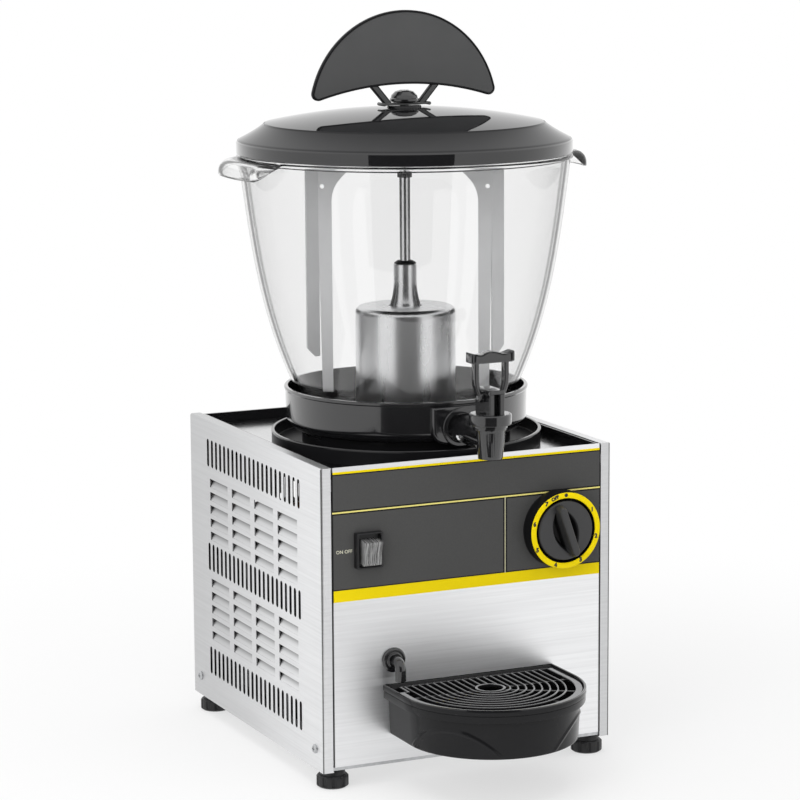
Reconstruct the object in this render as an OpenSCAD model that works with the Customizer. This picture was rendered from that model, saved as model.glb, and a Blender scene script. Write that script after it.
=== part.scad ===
// Cold drink dispenser: one clear bowl with a stirrer and a tap on a chilled stainless cabinet.
// Millimetres, +Z up. The origin is on the floor, under the centre of the footprint.
// The front faces -Y. Heights are measured from the floor that the feet stand on.

/* [Cabinet] */
// Width over the side panels
cab_w = 280; // [270:1:300]
// Depth over the front and rear panels
cab_d = 308; // [300:1:330]
// Height of the panels, without the feet
cab_h = 268; // [262:1:280]
// Thickness of the stainless sheet
sheet = 1; // [0.8:0.1:1.2]
// Width of the folded edges of the side panels
flange_w = 9.5; // [8:0.5:11]
// Outer radius of the side panels' bends
side_bend = 2; // [1:0.1:2.4]
// Depth of the well in the top of the cabinet
well_depth = 9; // [7:0.5:11]
// Height of the panels above the floor
foot_h = 16; // [14:1:20]
// Radius of the lobed foot
foot_r = 14; // [12:0.5:15]

/* [Vents] */
// Number of upright slots in a row
slot_count = 22; // [16:1:22]
// Distance from slot to slot
slot_pitch = 10.24; // [9:0.02:10.4]
// Width of a slot
slot_w = 5.2; // [3:0.1:6]
// Height of a slot
slot_h = 26; // [20:1:28]
// Length of a pressed louvre
louvre_len = 44; // [36:1:46]
// Height of the opening of a louvre
louvre_h = 8; // [6:0.5:9]
// How far the top of a louvre leans into the cabinet
louvre_depth = 3.5; // [2:0.5:4]

/* [Bowl] */
// Distance of the bowl's axis behind the front of the cabinet
axis_setback = 128.5; // [128:0.5:140]
// Height of the bowl's curved wall
bowl_h = 236; // [228:1:245]
// Radius at the foot of the wall
bowl_foot_r = 87.5; // [86:0.5:89]
// Radius that draws the lower third of the wall out
bowl_low_r = 131.5; // [128:0.5:134]
// Radius that draws the upper third of the wall out
bowl_high_r = 138.6; // [136:0.1:142]
// Radius at the rim
bowl_rim_r = 148.8; // [147:0.1:149]
// Thickness of the wall
bowl_wall = 3; // [2.5:0.1:3.2]
// Radius of the round black tub that holds the bowl
tub_r = 109; // [108.5:0.1:110]
// Height of the tub
tub_h = 38; // [36:1:40]
// Radius of the saucer under the tub
saucer_r = 121.5; // [120:0.5:122]
// Reach of the grip lugs from the axis
lug_reach = 167.5; // [162:0.5:168]

// Angle that each grip lug takes of the rim
lug_arc = 38; // [30:1:46]

/* [Lid and sign] */
// Radius of the lid's rim
lid_r = 150; // [149.5:0.1:152]
// Height of the upright band of the rim
lid_band = 10; // [7:0.5:11]
// Radius of the raised crown
crown_r = 125.5; // [122:0.5:128]
// Height of the lid from rim to top
lid_h = 39.5; // [36:0.5:41]
// Width of the crescent sign
sign_w = 179; // [160:1:184]
// Height from the lid to the top of the sign
sign_h = 84; // [76:1:90]
// Thickness of the sign with its raised border
sign_t = 4.6; // [4:0.2:6]

/* [Evaporator] */
// Radius of the cold cylinder
dome_r = 45; // [44:0.5:46]
// Height of the cylinder above the cabinet's well
dome_h = 125; // [110:1:127]
// Radius of the neck
neck_r = 10.4; // [9.8:0.1:11]
// Height of the neck
neck_h = 38; // [36:1:46]
// Radius of the drive shaft
shaft_r = 4.8; // [4.4:0.1:5]

/* [Stirrer] */
// Turn of the stirrer about the axis at rest
stir_turn = -27; // [-32:1:0]
// Distance of the fold of each blade from the axis
fold_r = 79; // [74:0.5:80]
// Width of each blade's flat
blade_w = 13.5; // [10:0.5:16]
// Width of each blade's folded edge
wing_w = 15; // [10:0.5:16]
// Thickness of the stirrer's sheet
stir_t = 1.5; // [1.2:0.1:2]

/* [Tap] */
// Distance of the spout from the bowl's axis
tap_reach = 171; // [168:0.5:174]
// Radius of the spout's mouth
spout_r = 10.6; // [10.4:0.1:11]
// Radius of the top of the spout
spout_top_r = 13.2; // [13:0.1:13.6]
// Radius of the ring under the lever
bonnet_r = 17.3; // [16.5:0.1:18]
// Width of the lever's cross bar
lever_w = 41; // [36:1:44]
// Length of the lever above its pivot
lever_h = 40; // [38:1:44]

/* [Controls] */
// Radius of the temperature dial's ring
dial_r = 34; // [32:0.5:35]
// Depth of the dial's ring
dial_depth = 15; // [12:0.5:16]
// Radius of the knob inside the ring
knob_r = 26.4; // [24:0.2:27]
// Width of the switch frame
switch_w = 26; // [25:0.5:28]
// Height of the switch frame
switch_h = 34; // [33:0.5:36]

/* [Drip tray] */
// Radius of the rounded front
tray_r = 83; // [80:0.5:84]
// Distance of the rounded front's centre from the cabinet
tray_ahead = 42; // [40:0.5:44]
// Height of the tray
tray_h = 45; // [40:1:48]
// Number of curved slots in the grid
grid_slots = 9; // [8:1:11]

/* [Hidden] */
$fn = 96;
eps = 0.05;
gap = 0.3;
run_fit = 0.05;

// Main planes and the bowl's axis
base_z = foot_h;
top_z = base_z + cab_h;
well_z = top_z - well_depth;
tray_reach = tray_ahead + tray_r;
front_y = (tray_reach - cab_d) / 2;
rear_y = front_y + cab_d;
mid_y = front_y + cab_d / 2;
axis_y = front_y + axis_setback;
side_x = cab_w / 2;
inner_x = side_x - sheet;
hem_x = side_x - flange_w - 0.5;

// Rows of the vents, as heights above the foot of the panel
vent_y = mid_y + 2;
slot_rows = [238, 139.5, 40];
louvre_tops = [214, 119];
louvre_drop = 12.5;
louvre_step = 54.4;

// Heights of the bowl group
saucer_h = 14;
saucer_floor = 3;
tub_z = well_z + saucer_h + 2;
tub_floor = 2;
tub_wall = 2.6;
tub_bend = 12;
bowl_z = tub_z + tub_floor;
bowl_floor = 2.5;
curve_z = bowl_z + 9;
rim_z = curve_z + bowl_h;
curve_steps = 20;
lid_top_z = rim_z + lid_h;
sign_z = lid_top_z + 1.5;
bar_t = 3;
lid_stud_r = 4;

// Heights of the evaporator and the drive
dome_top_z = well_z + dome_h;
neck_top_z = dome_top_z + neck_h;
dome_wall = 1.5;
dome_hole_r = 49;
shaft_top_z = rim_z - 16;
head_z = rim_z - 5;
hub_z = shaft_top_z - 7;
hub_r = 6.6;
bridge_h = 9.5;
shaft_flat = 1;
gearbox_top_z = top_z - 22;

// Places of the tap
tap_y = axis_y - tap_reach;
tap_z = tub_z + 15.5;
spout_z = tap_z - 17.5;
spout_top_z = tap_z + 7.5;
collar_top_z = tap_z + 14;
bonnet_top_z = collar_top_z + 9;
block_top_z = bonnet_top_z + 17;
pivot_z = bonnet_top_z + 13;
block_w = 14;
block_d = 26;
pin_r = 2;
plunger_r = 3;
seat_z = tap_z - 10;
seal_z = seat_z + 3.5;
disc_z = seal_z + 3;
spring_top_z = collar_top_z + 4;
barrel_r = 12.4;
stem_r = 8;
gasket_t = 1.5;
duct_r = 5.5;
tap_screw_r = 1.5;
screw_depth = 3;
boss_y = axis_y - 105;
tub_boss_y = axis_y - 115;
pad_y = axis_y - 79;

// Places of the controls on the front panel
label_t = 0.4;
label_z0 = base_z + 150.5;
label_z1 = base_z + 264;
dial_x = 87.7;
dial_z = base_z + 196;
spindle_r = 3;
switch_x = -96.8;
switch_z = base_z + 194.2;
switch_body_w = 22;
switch_body_h = 30;
rocker_w = 17.6;
rocker_axis_y = front_y + 6;
rocker_rest = 10;

// Places of the drain and the drip tray
drain_x = -72.9;
drain_z = base_z + 94.3;
drain_r = 4.75;
drain_end_z = base_z + 78.7;
drain_bend = 7;
drain_ahead = 15;
hose_y = front_y + 42;
drain_hole_r = 4;
tray_z = base_z + 28;
rim_top_z = tray_z + tray_h;
tray_wall = 2.5;
tray_body_r = tray_r - 4;
grid_r = tray_r - 2.5;
grid_z = rim_top_z - 5;
grid_t = 3;
tongue_x = 50;
tongue_w = 20;
tongue_z = tray_z + 16;
tongue_h = 6;
notch_half = 7;
notch_len = 24;

// Base pan, feet and fasteners
pan_t = 1.2;
pan_floor_z = base_z + sheet;
pan_wall_h = 27;
foot_x = side_x - 15;
foot_dy = cab_d / 2 - 15;
stud_r = 3.9;
screw_z = base_z + 18.5;
side_screw_dy = 137;
screw_r = 1.9;
rear_screw_x = 118;
rear_screw_z0 = base_z + 20;
rear_screw_z1 = well_z - 8;
rear_face_y = rear_y - 3;
rear_inner_y = rear_face_y - sheet;
gland_x = -85;
gland_z = base_z + 44;
gland_r = 7.5;
cord_r = 4.1;

// Cooling set inside the cabinet
comp_x = 62;
comp_y = mid_y + 76;
comp_z = pan_floor_z + pan_t + 14;
comp_r = 58;
comp_h = 116;
comp_foot_dx = 56;
comp_foot_dy = 42;
cond_x = -side_x + 7;
cond_t = 26;
cond_l = 170;
cond_z = base_z + 29;
cond_h = 160;
fan_z = cond_z + cond_h / 2;
fan_x = cond_x + cond_t + 5;
fan_hole_r = 70;
strap_x = fan_x + 54;
fan_shaft_r = 2.5;
pipe_r = 3;
capillary_r = 1.2;
drier_x = 112;
drier_y = axis_y - 17;
drier_z = base_z + 48;
drier_h = 90;

// Shapes that repeat

module block(x0, x1, y0, y1, z0, z1) {
    translate([x0, y0, z0]) cube([x1 - x0, y1 - y0, z1 - z0]);
}

// A rod from one coordinate to another along an axis
module rod_x(x0, x1, y, z, r) {
    translate([x0, y, z]) rotate([0, 90, 0]) cylinder(r = r, h = x1 - x0);
}

module rod_y(y0, y1, x, z, r) {
    translate([x, y0, z]) rotate([-90, 0, 0]) cylinder(r = r, h = y1 - y0);
}

module rod_z(z0, z1, x, y, r) {
    translate([x, y, z0]) cylinder(r = r, h = z1 - z0);
}

module on_axis() {
    translate([0, axis_y, 0]) children();
}

// A turned shape about an upright line at x, y
module turned(points) {
    rotate_extrude() polygon(points);
}

// A flat outline stood upright in the X-Z plane, with its front at y0
module upright(y0, t) {
    translate([0, y0 + t, 0]) rotate([90, 0, 0]) linear_extrude(t) children();
}

// A flat outline stood upright in the Y-Z plane, with its low face at x0
module sideways(x0, t) {
    translate([x0, 0, 0]) rotate([90, 0, 90]) linear_extrude(t) children();
}

// An upright slot with round ends, centred on u, v
module slot_2d(u, v, w, h) {
    translate([u - w / 2, v - h / 2 + w / 2]) square([w, h - w]);
    for (s = [-1, 1])
        translate([u, v + s * (h - w) / 2]) circle(d = w, $fn = 24);
}

// A round tube through points, with a ball at every turn
module pipe_run(points, r) {
    for (i = [0 : len(points) - 2])
        pipe_leg(points[i], points[i + 1], r);
    for (i = [1 : len(points) - 2])
        translate(points[i]) sphere(r = 1.15 * r, $fn = 32);
}

module pipe_leg(a, b, r) {
    d = b - a;
    l = norm(d);
    translate(a) rotate([0, acos(d[2] / l), atan2(d[1], d[0])]) cylinder(r = r, h = l);
}

function cubic(a, b, c, d, t) =
    a * pow(1 - t, 3) + 3 * b * t * pow(1 - t, 2) + 3 * c * t * t * (1 - t) + d * pow(t, 3);

function quad(a, b, c, t) = a * pow(1 - t, 2) + 2 * b * t * (1 - t) + c * t * t;

// Points of an arc about c, from angle a0 to a1
function arc(c, r, a0, a1, n) =
    [for (i = [0 : n]) let (a = a0 + (a1 - a0) * i / n) c + r * [cos(a), sin(a)]];

// Cabinet

// Base pan with its four weld nuts for the feet
module base_pan() {
    nut_r = 7;
    nut_top_z = pan_floor_z + pan_t + 6.5;
    y0 = front_y + 2;
    y1 = rear_inner_y - gap;
    color("silver") difference() {
        union() {
            block(-inner_x, inner_x, y0, y1, pan_floor_z, pan_floor_z + pan_t);
            for (x = [-foot_x, foot_x], y = [-foot_dy, foot_dy])
                translate([x, mid_y + y, pan_floor_z + pan_t / 2])
                    cylinder(r = nut_r, h = nut_top_z - pan_floor_z - pan_t / 2, $fn = 6);
            block(-inner_x, inner_x, y0, y0 + pan_t, pan_floor_z, base_z + 4);
            block(-inner_x, inner_x, y1 - pan_t, y1, pan_floor_z, pan_floor_z + pan_wall_h);
            for (x = [-inner_x, inner_x - pan_t])
                block(x, x + pan_t, y0, y1, pan_floor_z, pan_floor_z + pan_wall_h);
        }
        for (x = [-foot_x, foot_x], y = [-foot_dy, foot_dy])
            rod_z(pan_floor_z - 1, nut_top_z + 1, x, mid_y + y, stud_r + run_fit);
        for (y = [-side_screw_dy, side_screw_dy])
            rod_x(-side_x, side_x, mid_y + y, screw_z, screw_r + run_fit);
        for (x = [-rear_screw_x, rear_screw_x])
            rod_y(y1 - 5, y1 + 5, x, rear_screw_z0, screw_r + run_fit);
    }
}

module vent_slots_2d() {
    for (z = slot_rows, i = [0 : slot_count - 1])
        slot_2d(vent_y + (i - (slot_count - 1) / 2) * slot_pitch, base_z + z, slot_w, slot_h);
}

// Lower front corner of each louvre opening, as y and z
louvre_at = [for (z = louvre_tops, row = [0 : 4], col = [0 : 3])
    [vent_y + (col - 1.5) * louvre_step - louvre_len / 2, base_z + z - row * louvre_drop - louvre_h]];

module louvre_flap(y, z) {
    translate([-side_x, y + louvre_len - gap, 0]) rotate([90, 0, 0]) linear_extrude(louvre_len - 2 * gap)
        polygon([[0, z - 1], [sheet, z - 1], [sheet + louvre_depth, z + louvre_h],
            [louvre_depth, z + louvre_h]]);
}

module side_panel() {
    difference() {
        union() {
            sideways(-side_x, sheet) difference() {
                translate([front_y, base_z]) square([cab_d, cab_h]);
                vent_slots_2d();
                for (p = louvre_at)
                    translate(p) square([louvre_len, louvre_h]);
            }
            for (p = louvre_at)
                louvre_flap(p[0], p[1]);
            block(-side_x, -side_x + flange_w, front_y, front_y + sheet, base_z, top_z);
            block(-side_x, -hem_x, front_y, rear_y, top_z - sheet, top_z);
            block(-side_x, -hem_x, front_y, rear_y, base_z, base_z + sheet);
        }
        for (y = [-side_screw_dy, side_screw_dy])
            rod_x(-side_x - 1, -inner_x + 1, mid_y + y, screw_z, screw_r + run_fit);
        translate([-side_x, front_y, base_z - 1]) linear_extrude(cab_h + 2) bend_cut_2d();
        translate([-side_x, rear_y + 1, top_z]) rotate([90, 0, 0]) linear_extrude(cab_d + 2)
            mirror([0, 1]) bend_cut_2d();
    }
}

// What a rounded bend takes off a square corner
module bend_cut_2d() {
    difference() {
        translate([-1, -1]) square(side_bend + 1);
        translate([side_bend, side_bend]) circle(r = side_bend);
    }
}

module left_side_panel() {
    color("gainsboro") side_panel();
}

module right_side_panel() {
    color("gainsboro") mirror([1, 0, 0]) side_panel();
}

module front_panel() {
    z0 = base_z + 4.4;
    w = hem_x - 0.4;
    color("gainsboro") {
        upright(front_y, sheet) difference() {
            translate([-w, z0]) square([2 * w, top_z - z0]);
            translate([switch_x - switch_body_w / 2 - gap, switch_z - switch_body_h / 2 - gap])
                square([switch_body_w + 2 * gap, switch_body_h + 2 * gap]);
            translate([dial_x, dial_z]) circle(r = 6);
            translate([drain_x, drain_z]) circle(r = 9);
            for (x = [-tongue_x, tongue_x])
                translate([x - tongue_w / 2 - 0.5, tongue_z - 0.5]) square([tongue_w + 1, tongue_h + 1]);
        }
        block(-w, w, front_y + sheet / 2, front_y + 6, z0, z0 + sheet);
        for (x = [-w, w - sheet])
            block(x, x + sheet, front_y + sheet / 2, front_y + 10, z0 + 6, well_z - 12);
    }
}

module rear_panel() {
    z0 = base_z + 3;
    z1 = top_z - 2;
    w = inner_x - 0.2;
    color("gainsboro") upright(rear_inner_y, sheet) difference() {
        translate([-w, z0]) square([2 * w, z1 - z0]);
        for (z = [base_z + 96, base_z + 206], i = [0 : 11])
            slot_2d((i - 5.5) * 14, z, slot_w, 56);
        translate([gland_x, gland_z]) circle(r = gland_r + 0.1);
        for (x = [-rear_screw_x, rear_screw_x], z = [rear_screw_z0, rear_screw_z1])
            translate([x, z]) circle(r = screw_r + run_fit);
    }
}

module top_plate() {
    y0 = front_y + 1.5;
    y1 = rear_inner_y - gap;
    lip = 12;
    color("lightgray") difference() {
        union() {
            block(-inner_x, inner_x, y0, y1, well_z - sheet, well_z);
            for (x = [-inner_x, inner_x - sheet])
                block(x, x + sheet, y0 + 12, y1, well_z - lip, well_z);
            block(-inner_x, inner_x, y1 - sheet, y1, well_z - lip, well_z);
        }
        on_axis() rod_z(well_z - 5, well_z + 5, 0, 0, dome_r - 5);
        rod_z(well_z - 5, well_z + 5, drain_x, hose_y, drain_hole_r);
        for (x = [-rear_screw_x, rear_screw_x])
            rod_y(y1 - 5, y1 + 5, x, rear_screw_z1, screw_r + run_fit);
    }
}

// Black liner round the well
module top_trim() {
    w = hem_x;
    t = 2.5;
    y0 = front_y + sheet + gap;
    y1 = rear_inner_y - gap;
    color([0.05, 0.05, 0.05]) translate([0, 0, well_z]) linear_extrude(well_depth - 0.6) difference() {
        translate([-w, y0]) square([2 * w, y1 - y0]);
        translate([t - w, y0 + 2]) square([2 * (w - t), y1 - y0 - t - 2]);
    }
}

module control_label() {
    w = hem_x - 0.6;
    color([0.29, 0.29, 0.29]) upright(front_y - label_t, label_t) difference() {
        translate([-w, label_z0]) square([2 * w, label_z1 - label_z0]);
        translate([switch_x - switch_body_w / 2 - gap, switch_z - switch_body_h / 2 - gap])
            square([switch_body_w + 2 * gap, switch_body_h + 2 * gap]);
        translate([dial_x, dial_z]) circle(r = 6);
    }
}

module base_saucer() {
    wall = 2.5;
    in_r = 58;
    seat = [80, 94];
    lip_z = saucer_h - 1.6;
    color([0.04, 0.04, 0.04]) difference() {
        translate([0, axis_y, well_z]) turned([
            [in_r, 0], [saucer_r, 0], [saucer_r, lip_z], [saucer_r + 0.4, lip_z + 0.8],
            [saucer_r - 0.4, saucer_h], [saucer_r - wall, saucer_h], [saucer_r - wall, saucer_floor],
            [seat[1], saucer_floor], [seat[1], saucer_h + 2], [seat[0], saucer_h + 2],
            [seat[0], saucer_floor], [in_r, saucer_floor]]);
        rod_z(well_z - 1, well_z + 10, drain_x, hose_y, drain_hole_r);
    }
}

// Evaporator and drive

module evaporator_dome() {
    flange_r = dome_r + 11;
    corner = 6;
    flare = 3;
    flare_h = 20;
    bore = neck_r - 2.4;
    color("silver") translate([0, axis_y, 0]) turned(concat(
        [[dome_r - dome_wall, well_z], [flange_r, well_z], [flange_r, well_z + 1.5], [dome_r, well_z + 1.5]],
        arc([dome_r - corner, dome_top_z - corner], corner, 0, 90, 8),
        [[neck_r + flare, dome_top_z], [neck_r + flare, dome_top_z + 2]],
        [for (i = [1 : 8]) let (t = i / 8) [neck_r + flare * pow(1 - t, 2), dome_top_z + 2 + flare_h * t]],
        [[neck_r, neck_top_z], [bore, neck_top_z], [bore, dome_top_z - dome_wall]],
        arc([dome_r - corner, dome_top_z - corner], corner - dome_wall, 90, 0, 8)));
}

// Copper winding on the inside of the cylinder, drawn as a ribbed sleeve
module evaporator_coil() {
    turns = 12;
    r = 3;
    sleeve_r = dome_r - dome_wall - gap - r;
    z0 = well_z + 16;
    color("peru") on_axis() difference() {
        union() {
            rod_z(z0, z0 + 2 * r * turns, 0, 0, sleeve_r);
            for (i = [0 : turns - 1])
                translate([0, 0, z0 + r * (2 * i + 1)]) rotate_extrude()
                    translate([sleeve_r - 0.2, 0]) circle(r = r * 0.96, $fn = 24);
        }
        rod_z(z0 - 1, z0 + 2 * r * turns + 1, 0, 0, sleeve_r - r);
    }
}

module shaft_bush() {
    bore = neck_r - 2.4;
    color([0.05, 0.05, 0.05]) translate([0, axis_y, neck_top_z]) difference() {
        turned([[0, -14], [bore, -14], [bore, 0], [neck_r - 0.5, 0], [neck_r - 1, 1],
            [shaft_r + 2, 2.6], [0, 2.6]]);
        rod_z(-15, 4, 0, 0, shaft_r + run_fit);
    }
}

module drive_shaft() {
    flat_len = 8;
    color("silver") on_axis() difference() {
        rod_z(gearbox_top_z - 12, shaft_top_z, 0, 0, shaft_r);
        block(shaft_r - shaft_flat, shaft_r + 1, -shaft_r, shaft_r, shaft_top_z - flat_len, shaft_top_z + 1);
    }
}

module gear_motor() {
    w = 30;
    d = 25;
    box_h = 32;
    can_r = 28;
    can_h = 62;
    top = gearbox_top_z;
    color("dimgray") on_axis() difference() {
        union() {
            block(-w, w, -d, d, top - box_h, top);
            rod_z(top - eps, top + 6, 0, 0, 13);
            rod_z(top - box_h - can_h, top - box_h + eps, 0, 0, can_r);
            rod_z(top - box_h - can_h - 6, top - box_h - can_h + eps, 0, 0, 10);
        }
        rod_z(top - 14, top + 7, 0, 0, shaft_r + run_fit);
    }
}

module motor_bracket() {
    w = 46;
    d = 22;
    t = 2;
    color("silver") on_axis() difference() {
        union() {
            block(-w, w, -d, d, gearbox_top_z, gearbox_top_z + t);
            for (x = [-w, w - t])
                block(x, x + t, -d, d, gearbox_top_z, well_z - sheet);
        }
        rod_z(gearbox_top_z - 1, gearbox_top_z + 5, 0, 0, 13.5);
        rod_z(gearbox_top_z - 1, gearbox_top_z + 5, 36, 0, pipe_r + 1);
    }
}

// Cooling set

module compressor() {
    seam_r = comp_r + 2;
    seam_z = comp_z + 62;
    plate_t = 3;
    color([0.07, 0.07, 0.07]) {
        translate([comp_x, comp_y, 0]) turned(concat(
            [[0, comp_z + 2], [comp_r - 22, comp_z + 2]],
            arc([comp_r - 22, comp_z + 24], 22, -90, 0, 8),
            [[comp_r, seam_z - 4], [seam_r, seam_z - 4], [seam_r, seam_z + 4], [comp_r, seam_z + 4]],
            arc([comp_r - 34, comp_z + comp_h - 34], 34, 0, 90, 10),
            [[0, comp_z + comp_h]]));
        difference() {
            block(comp_x - comp_foot_dx - 12, comp_x + comp_foot_dx + 12, comp_y - comp_foot_dy - 12,
                comp_y + comp_foot_dy + 12, comp_z, comp_z + plate_t);
            for (x = [-comp_foot_dx, comp_foot_dx], y = [-comp_foot_dy, comp_foot_dy])
                rod_z(comp_z - 1, comp_z + 5, comp_x + x, comp_y + y, 5);
        }
    }
}

module compressor_mounts() {
    floor_z = pan_floor_z + pan_t;
    color([0.1, 0.1, 0.1]) for (x = [-comp_foot_dx, comp_foot_dx], y = [-comp_foot_dy, comp_foot_dy])
        translate([comp_x + x, comp_y + y, 0]) turned([
            [0, floor_z], [10, floor_z], [10, comp_z], [5, comp_z], [5, comp_z + 3], [8, comp_z + 3],
            [7, comp_z + 6], [0, comp_z + 6]]);
}

module condenser() {
    fins = 20;
    fin_t = 1.2;
    rows = 6;
    tube_r = 4;
    pitch = cond_l / fins;
    y0 = mid_y - cond_l / 2;
    color("gray") {
        for (i = [0 : fins])
            block(cond_x, cond_x + cond_t, y0 + i * pitch, y0 + i * pitch + fin_t, cond_z, cond_z + cond_h);
        for (r = [0 : rows - 1])
            rod_y(y0 - 4, y0 + cond_l + fin_t + 4, cond_x + cond_t / 2,
                cond_z + (r + 0.5) * cond_h / rows, tube_r);
    }
}

module fan_shroud() {
    w = cond_h / 2;
    x0 = cond_x + cond_t;
    color([0.1, 0.1, 0.1]) sideways(x0, 1.6) difference() {
        translate([mid_y - w, cond_z]) square([2 * w, cond_h]);
        translate([mid_y, fan_z]) circle(r = fan_hole_r);
    }
}

module fan_strap() {
    x0 = cond_x + cond_t + 1.6;
    reach = 76;
    w = 9;
    t = 2;
    color("silver") {
        block(strap_x, strap_x + t, mid_y - w, mid_y + w, fan_z - reach, fan_z + reach);
        for (z = [fan_z - reach, fan_z + reach - t])
            block(x0, strap_x + t, mid_y - w, mid_y + w, z, z + t);
    }
}

module fan_motor() {
    color([0.12, 0.12, 0.12]) {
        rod_x(strap_x - 34, strap_x, mid_y, fan_z, 27);
        rod_x(strap_x - 36, strap_x - 33.9, mid_y, fan_z, 12);
        rod_x(strap_x - 48, strap_x - 35, mid_y, fan_z, fan_shaft_r);
    }
}

module fan_blades() {
    blades = 5;
    boss_r = 16;
    boss_l = 12;
    tip_r = 63;
    pitch = 28;
    chord = 22;
    blade_t = 1.6;
    color("whitesmoke") translate([fan_x, mid_y, fan_z]) rotate([0, 90, 0]) difference() {
        union() {
            cylinder(r = boss_r, h = boss_l);
            for (i = [0 : blades - 1])
                rotate([0, 0, i * 360 / blades]) translate([boss_r - 2, 0, boss_l / 2]) rotate([pitch, 0, 0])
                    translate([0, -chord / 2, -blade_t / 2]) cube([tip_r - boss_r, chord, blade_t]);
        }
        translate([0, 0, -1]) cylinder(r = fan_shaft_r + run_fit, h = boss_l + 2);
    }
}

module filter_drier() {
    color("peru") translate([drier_x, drier_y, drier_z]) turned([
        [0, 0], [3.2, 0], [3.2, 6], [9, 16], [9, drier_h - 16], [3, drier_h - 6], [3, drier_h],
        [0, drier_h]]);
}

// Discharge, suction, liquid and capillary runs of the sealed circuit
module refrigerant_pipes() {
    coil_z = well_z + 15;
    cond_mid_x = cond_x + cond_t / 2;
    cond_top_z = cond_z + cond_h;
    hot_y = comp_y - comp_r - 6;
    hot_z = comp_z + 90;
    cold_x = 36;
    cold_y = comp_y - 28;
    cold_z = comp_z + comp_h + 36;
    liquid_y = mid_y - cond_l / 2 - 12;
    liquid_z = cond_z + cond_h / 12;
    low_z = drier_z - 8;
    cap_y = axis_y - 36;
    cap_z = gearbox_top_z + 5;
    color("peru") {
        pipe_run([[comp_x, comp_y - comp_r - gap, hot_z], [comp_x, hot_y, hot_z],
            [comp_x, hot_y, cond_top_z + 12], [cond_mid_x, hot_y, cond_top_z + 12],
            [cond_mid_x, hot_y, cond_top_z + gap]], pipe_r);
        pipe_run([[cold_x, axis_y, coil_z], [cold_x, axis_y, cold_z], [comp_x, cold_y, cold_z],
            [comp_x, cold_y, comp_z + comp_h + gap]], pipe_r);
        pipe_run([[cond_mid_x, liquid_y + 8 - gap, liquid_z], [cond_mid_x, liquid_y, liquid_z],
            [cond_mid_x, liquid_y, low_z], [drier_x, liquid_y, low_z], [drier_x, drier_y, low_z],
            [drier_x, drier_y, drier_z - gap]], pipe_r);
        pipe_run([[drier_x, drier_y, drier_z + drier_h + gap], [drier_x, drier_y, cap_z], [0, cap_y, cap_z],
            [0, cap_y, coil_z]], capillary_r);
    }
}

// Electrics

module switch_housing() {
    frame_t = 3;
    depth = 26;
    y0 = front_y - label_t - frame_t;
    color([0.06, 0.06, 0.06]) difference() {
        union() {
            block(switch_x - switch_w / 2, switch_x + switch_w / 2, y0, front_y - label_t,
                switch_z - switch_h / 2, switch_z + switch_h / 2);
            block(switch_x - switch_body_w / 2, switch_x + switch_body_w / 2, y0 + 1, y0 + depth,
                switch_z - switch_body_h / 2, switch_z + switch_body_h / 2);
        }
        block(switch_x - rocker_w / 2 - gap, switch_x + rocker_w / 2 + gap, y0 - 1, y0 + depth - 3,
            switch_z - 14, switch_z + 14);
        rod_x(switch_x - 10.2, switch_x + 10.2, rocker_axis_y, switch_z, 1.5 + run_fit);
    }
}

// Rocker seen from the end, with its two faces ten degrees either side of upright
module switch_rocker() {
    half = 11.5;
    face = 9.5;
    end = face + half * tan(rocker_rest);
    color([0.45, 0.45, 0.45]) translate([switch_x, rocker_axis_y, switch_z]) rotate([rocker_rest, 0, 0]) {
        rotate([90, 0, 90]) translate([0, 0, -rocker_w / 2]) linear_extrude(rocker_w)
            polygon([[-face, 0], [-end, half], [-4, half], [5, 4], [5, -4], [-4, -half], [-end, -half]]);
        rod_x(-10, 10, 0, 0, 1.5);
    }
}

module dial_ring() {
    face = dial_depth;
    lip = 4.8;
    color("gold") translate([dial_x, front_y - label_t, dial_z]) rotate([90, 0, 0]) difference() {
        turned([[0, 0], [dial_r + 0.6, 0], [dial_r + 0.6, 3], [dial_r, face - 1], [dial_r - 1, face],
            [dial_r - lip, face], [dial_r - lip - 0.4, face - 1], [dial_r - lip - 0.4, 2.5], [0, 2.5]]);
        translate([0, 0, -1]) cylinder(r = 5, h = 5);
    }
}

module thermostat_body() {
    y0 = front_y + sheet;
    color("lightgray") difference() {
        union() {
            block(dial_x - 20, dial_x + 20, y0, y0 + 32, dial_z - 16, dial_z + 16);
            rod_y(front_y - 3, y0 + 1, dial_x, dial_z, 4.8);
            rod_z(dial_z - 44, dial_z - 15, dial_x - 8, y0 + 20, 2.5);
        }
        rod_y(front_y - 4, y0 + 12, dial_x, dial_z, spindle_r + run_fit);
    }
}

// Knob with a grip that points at the off mark at rest
module thermostat_knob() {
    base = 4;
    face = 13;
    grip = 24;
    grip_w = 11;
    off_angle = 19;
    color([0.15, 0.15, 0.15]) translate([dial_x, front_y - label_t, dial_z]) rotate([90, 0, 0]) {
        turned([[0, base], [knob_r - 1, base], [knob_r, base + 1], [knob_r, face - 1],
            [knob_r - 1, face], [0, face]]);
        rotate([0, 0, off_angle]) intersection() {
            translate([-grip_w / 2, -knob_r, face - 1]) cube([grip_w, 2 * knob_r, grip - face + 1]);
            turned([[0, base], [knob_r - 0.6, base], [knob_r - 0.6, face], [knob_r - 4, grip], [0, grip]]);
        }
        translate([0, 0, -10]) cylinder(r = spindle_r, h = 15);
    }
}

module terminal_block() {
    x0 = -112;
    z0 = base_z + 190;
    y1 = rear_inner_y - gap;
    color("ivory") difference() {
        block(x0, x0 + 52, y1 - 26, y1, z0, z0 + 34);
        for (i = [0 : 4])
            rod_y(y1 - 27, y1 - 14, x0 + 8 + i * 9, z0 + 17, 2.6);
    }
}

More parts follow.
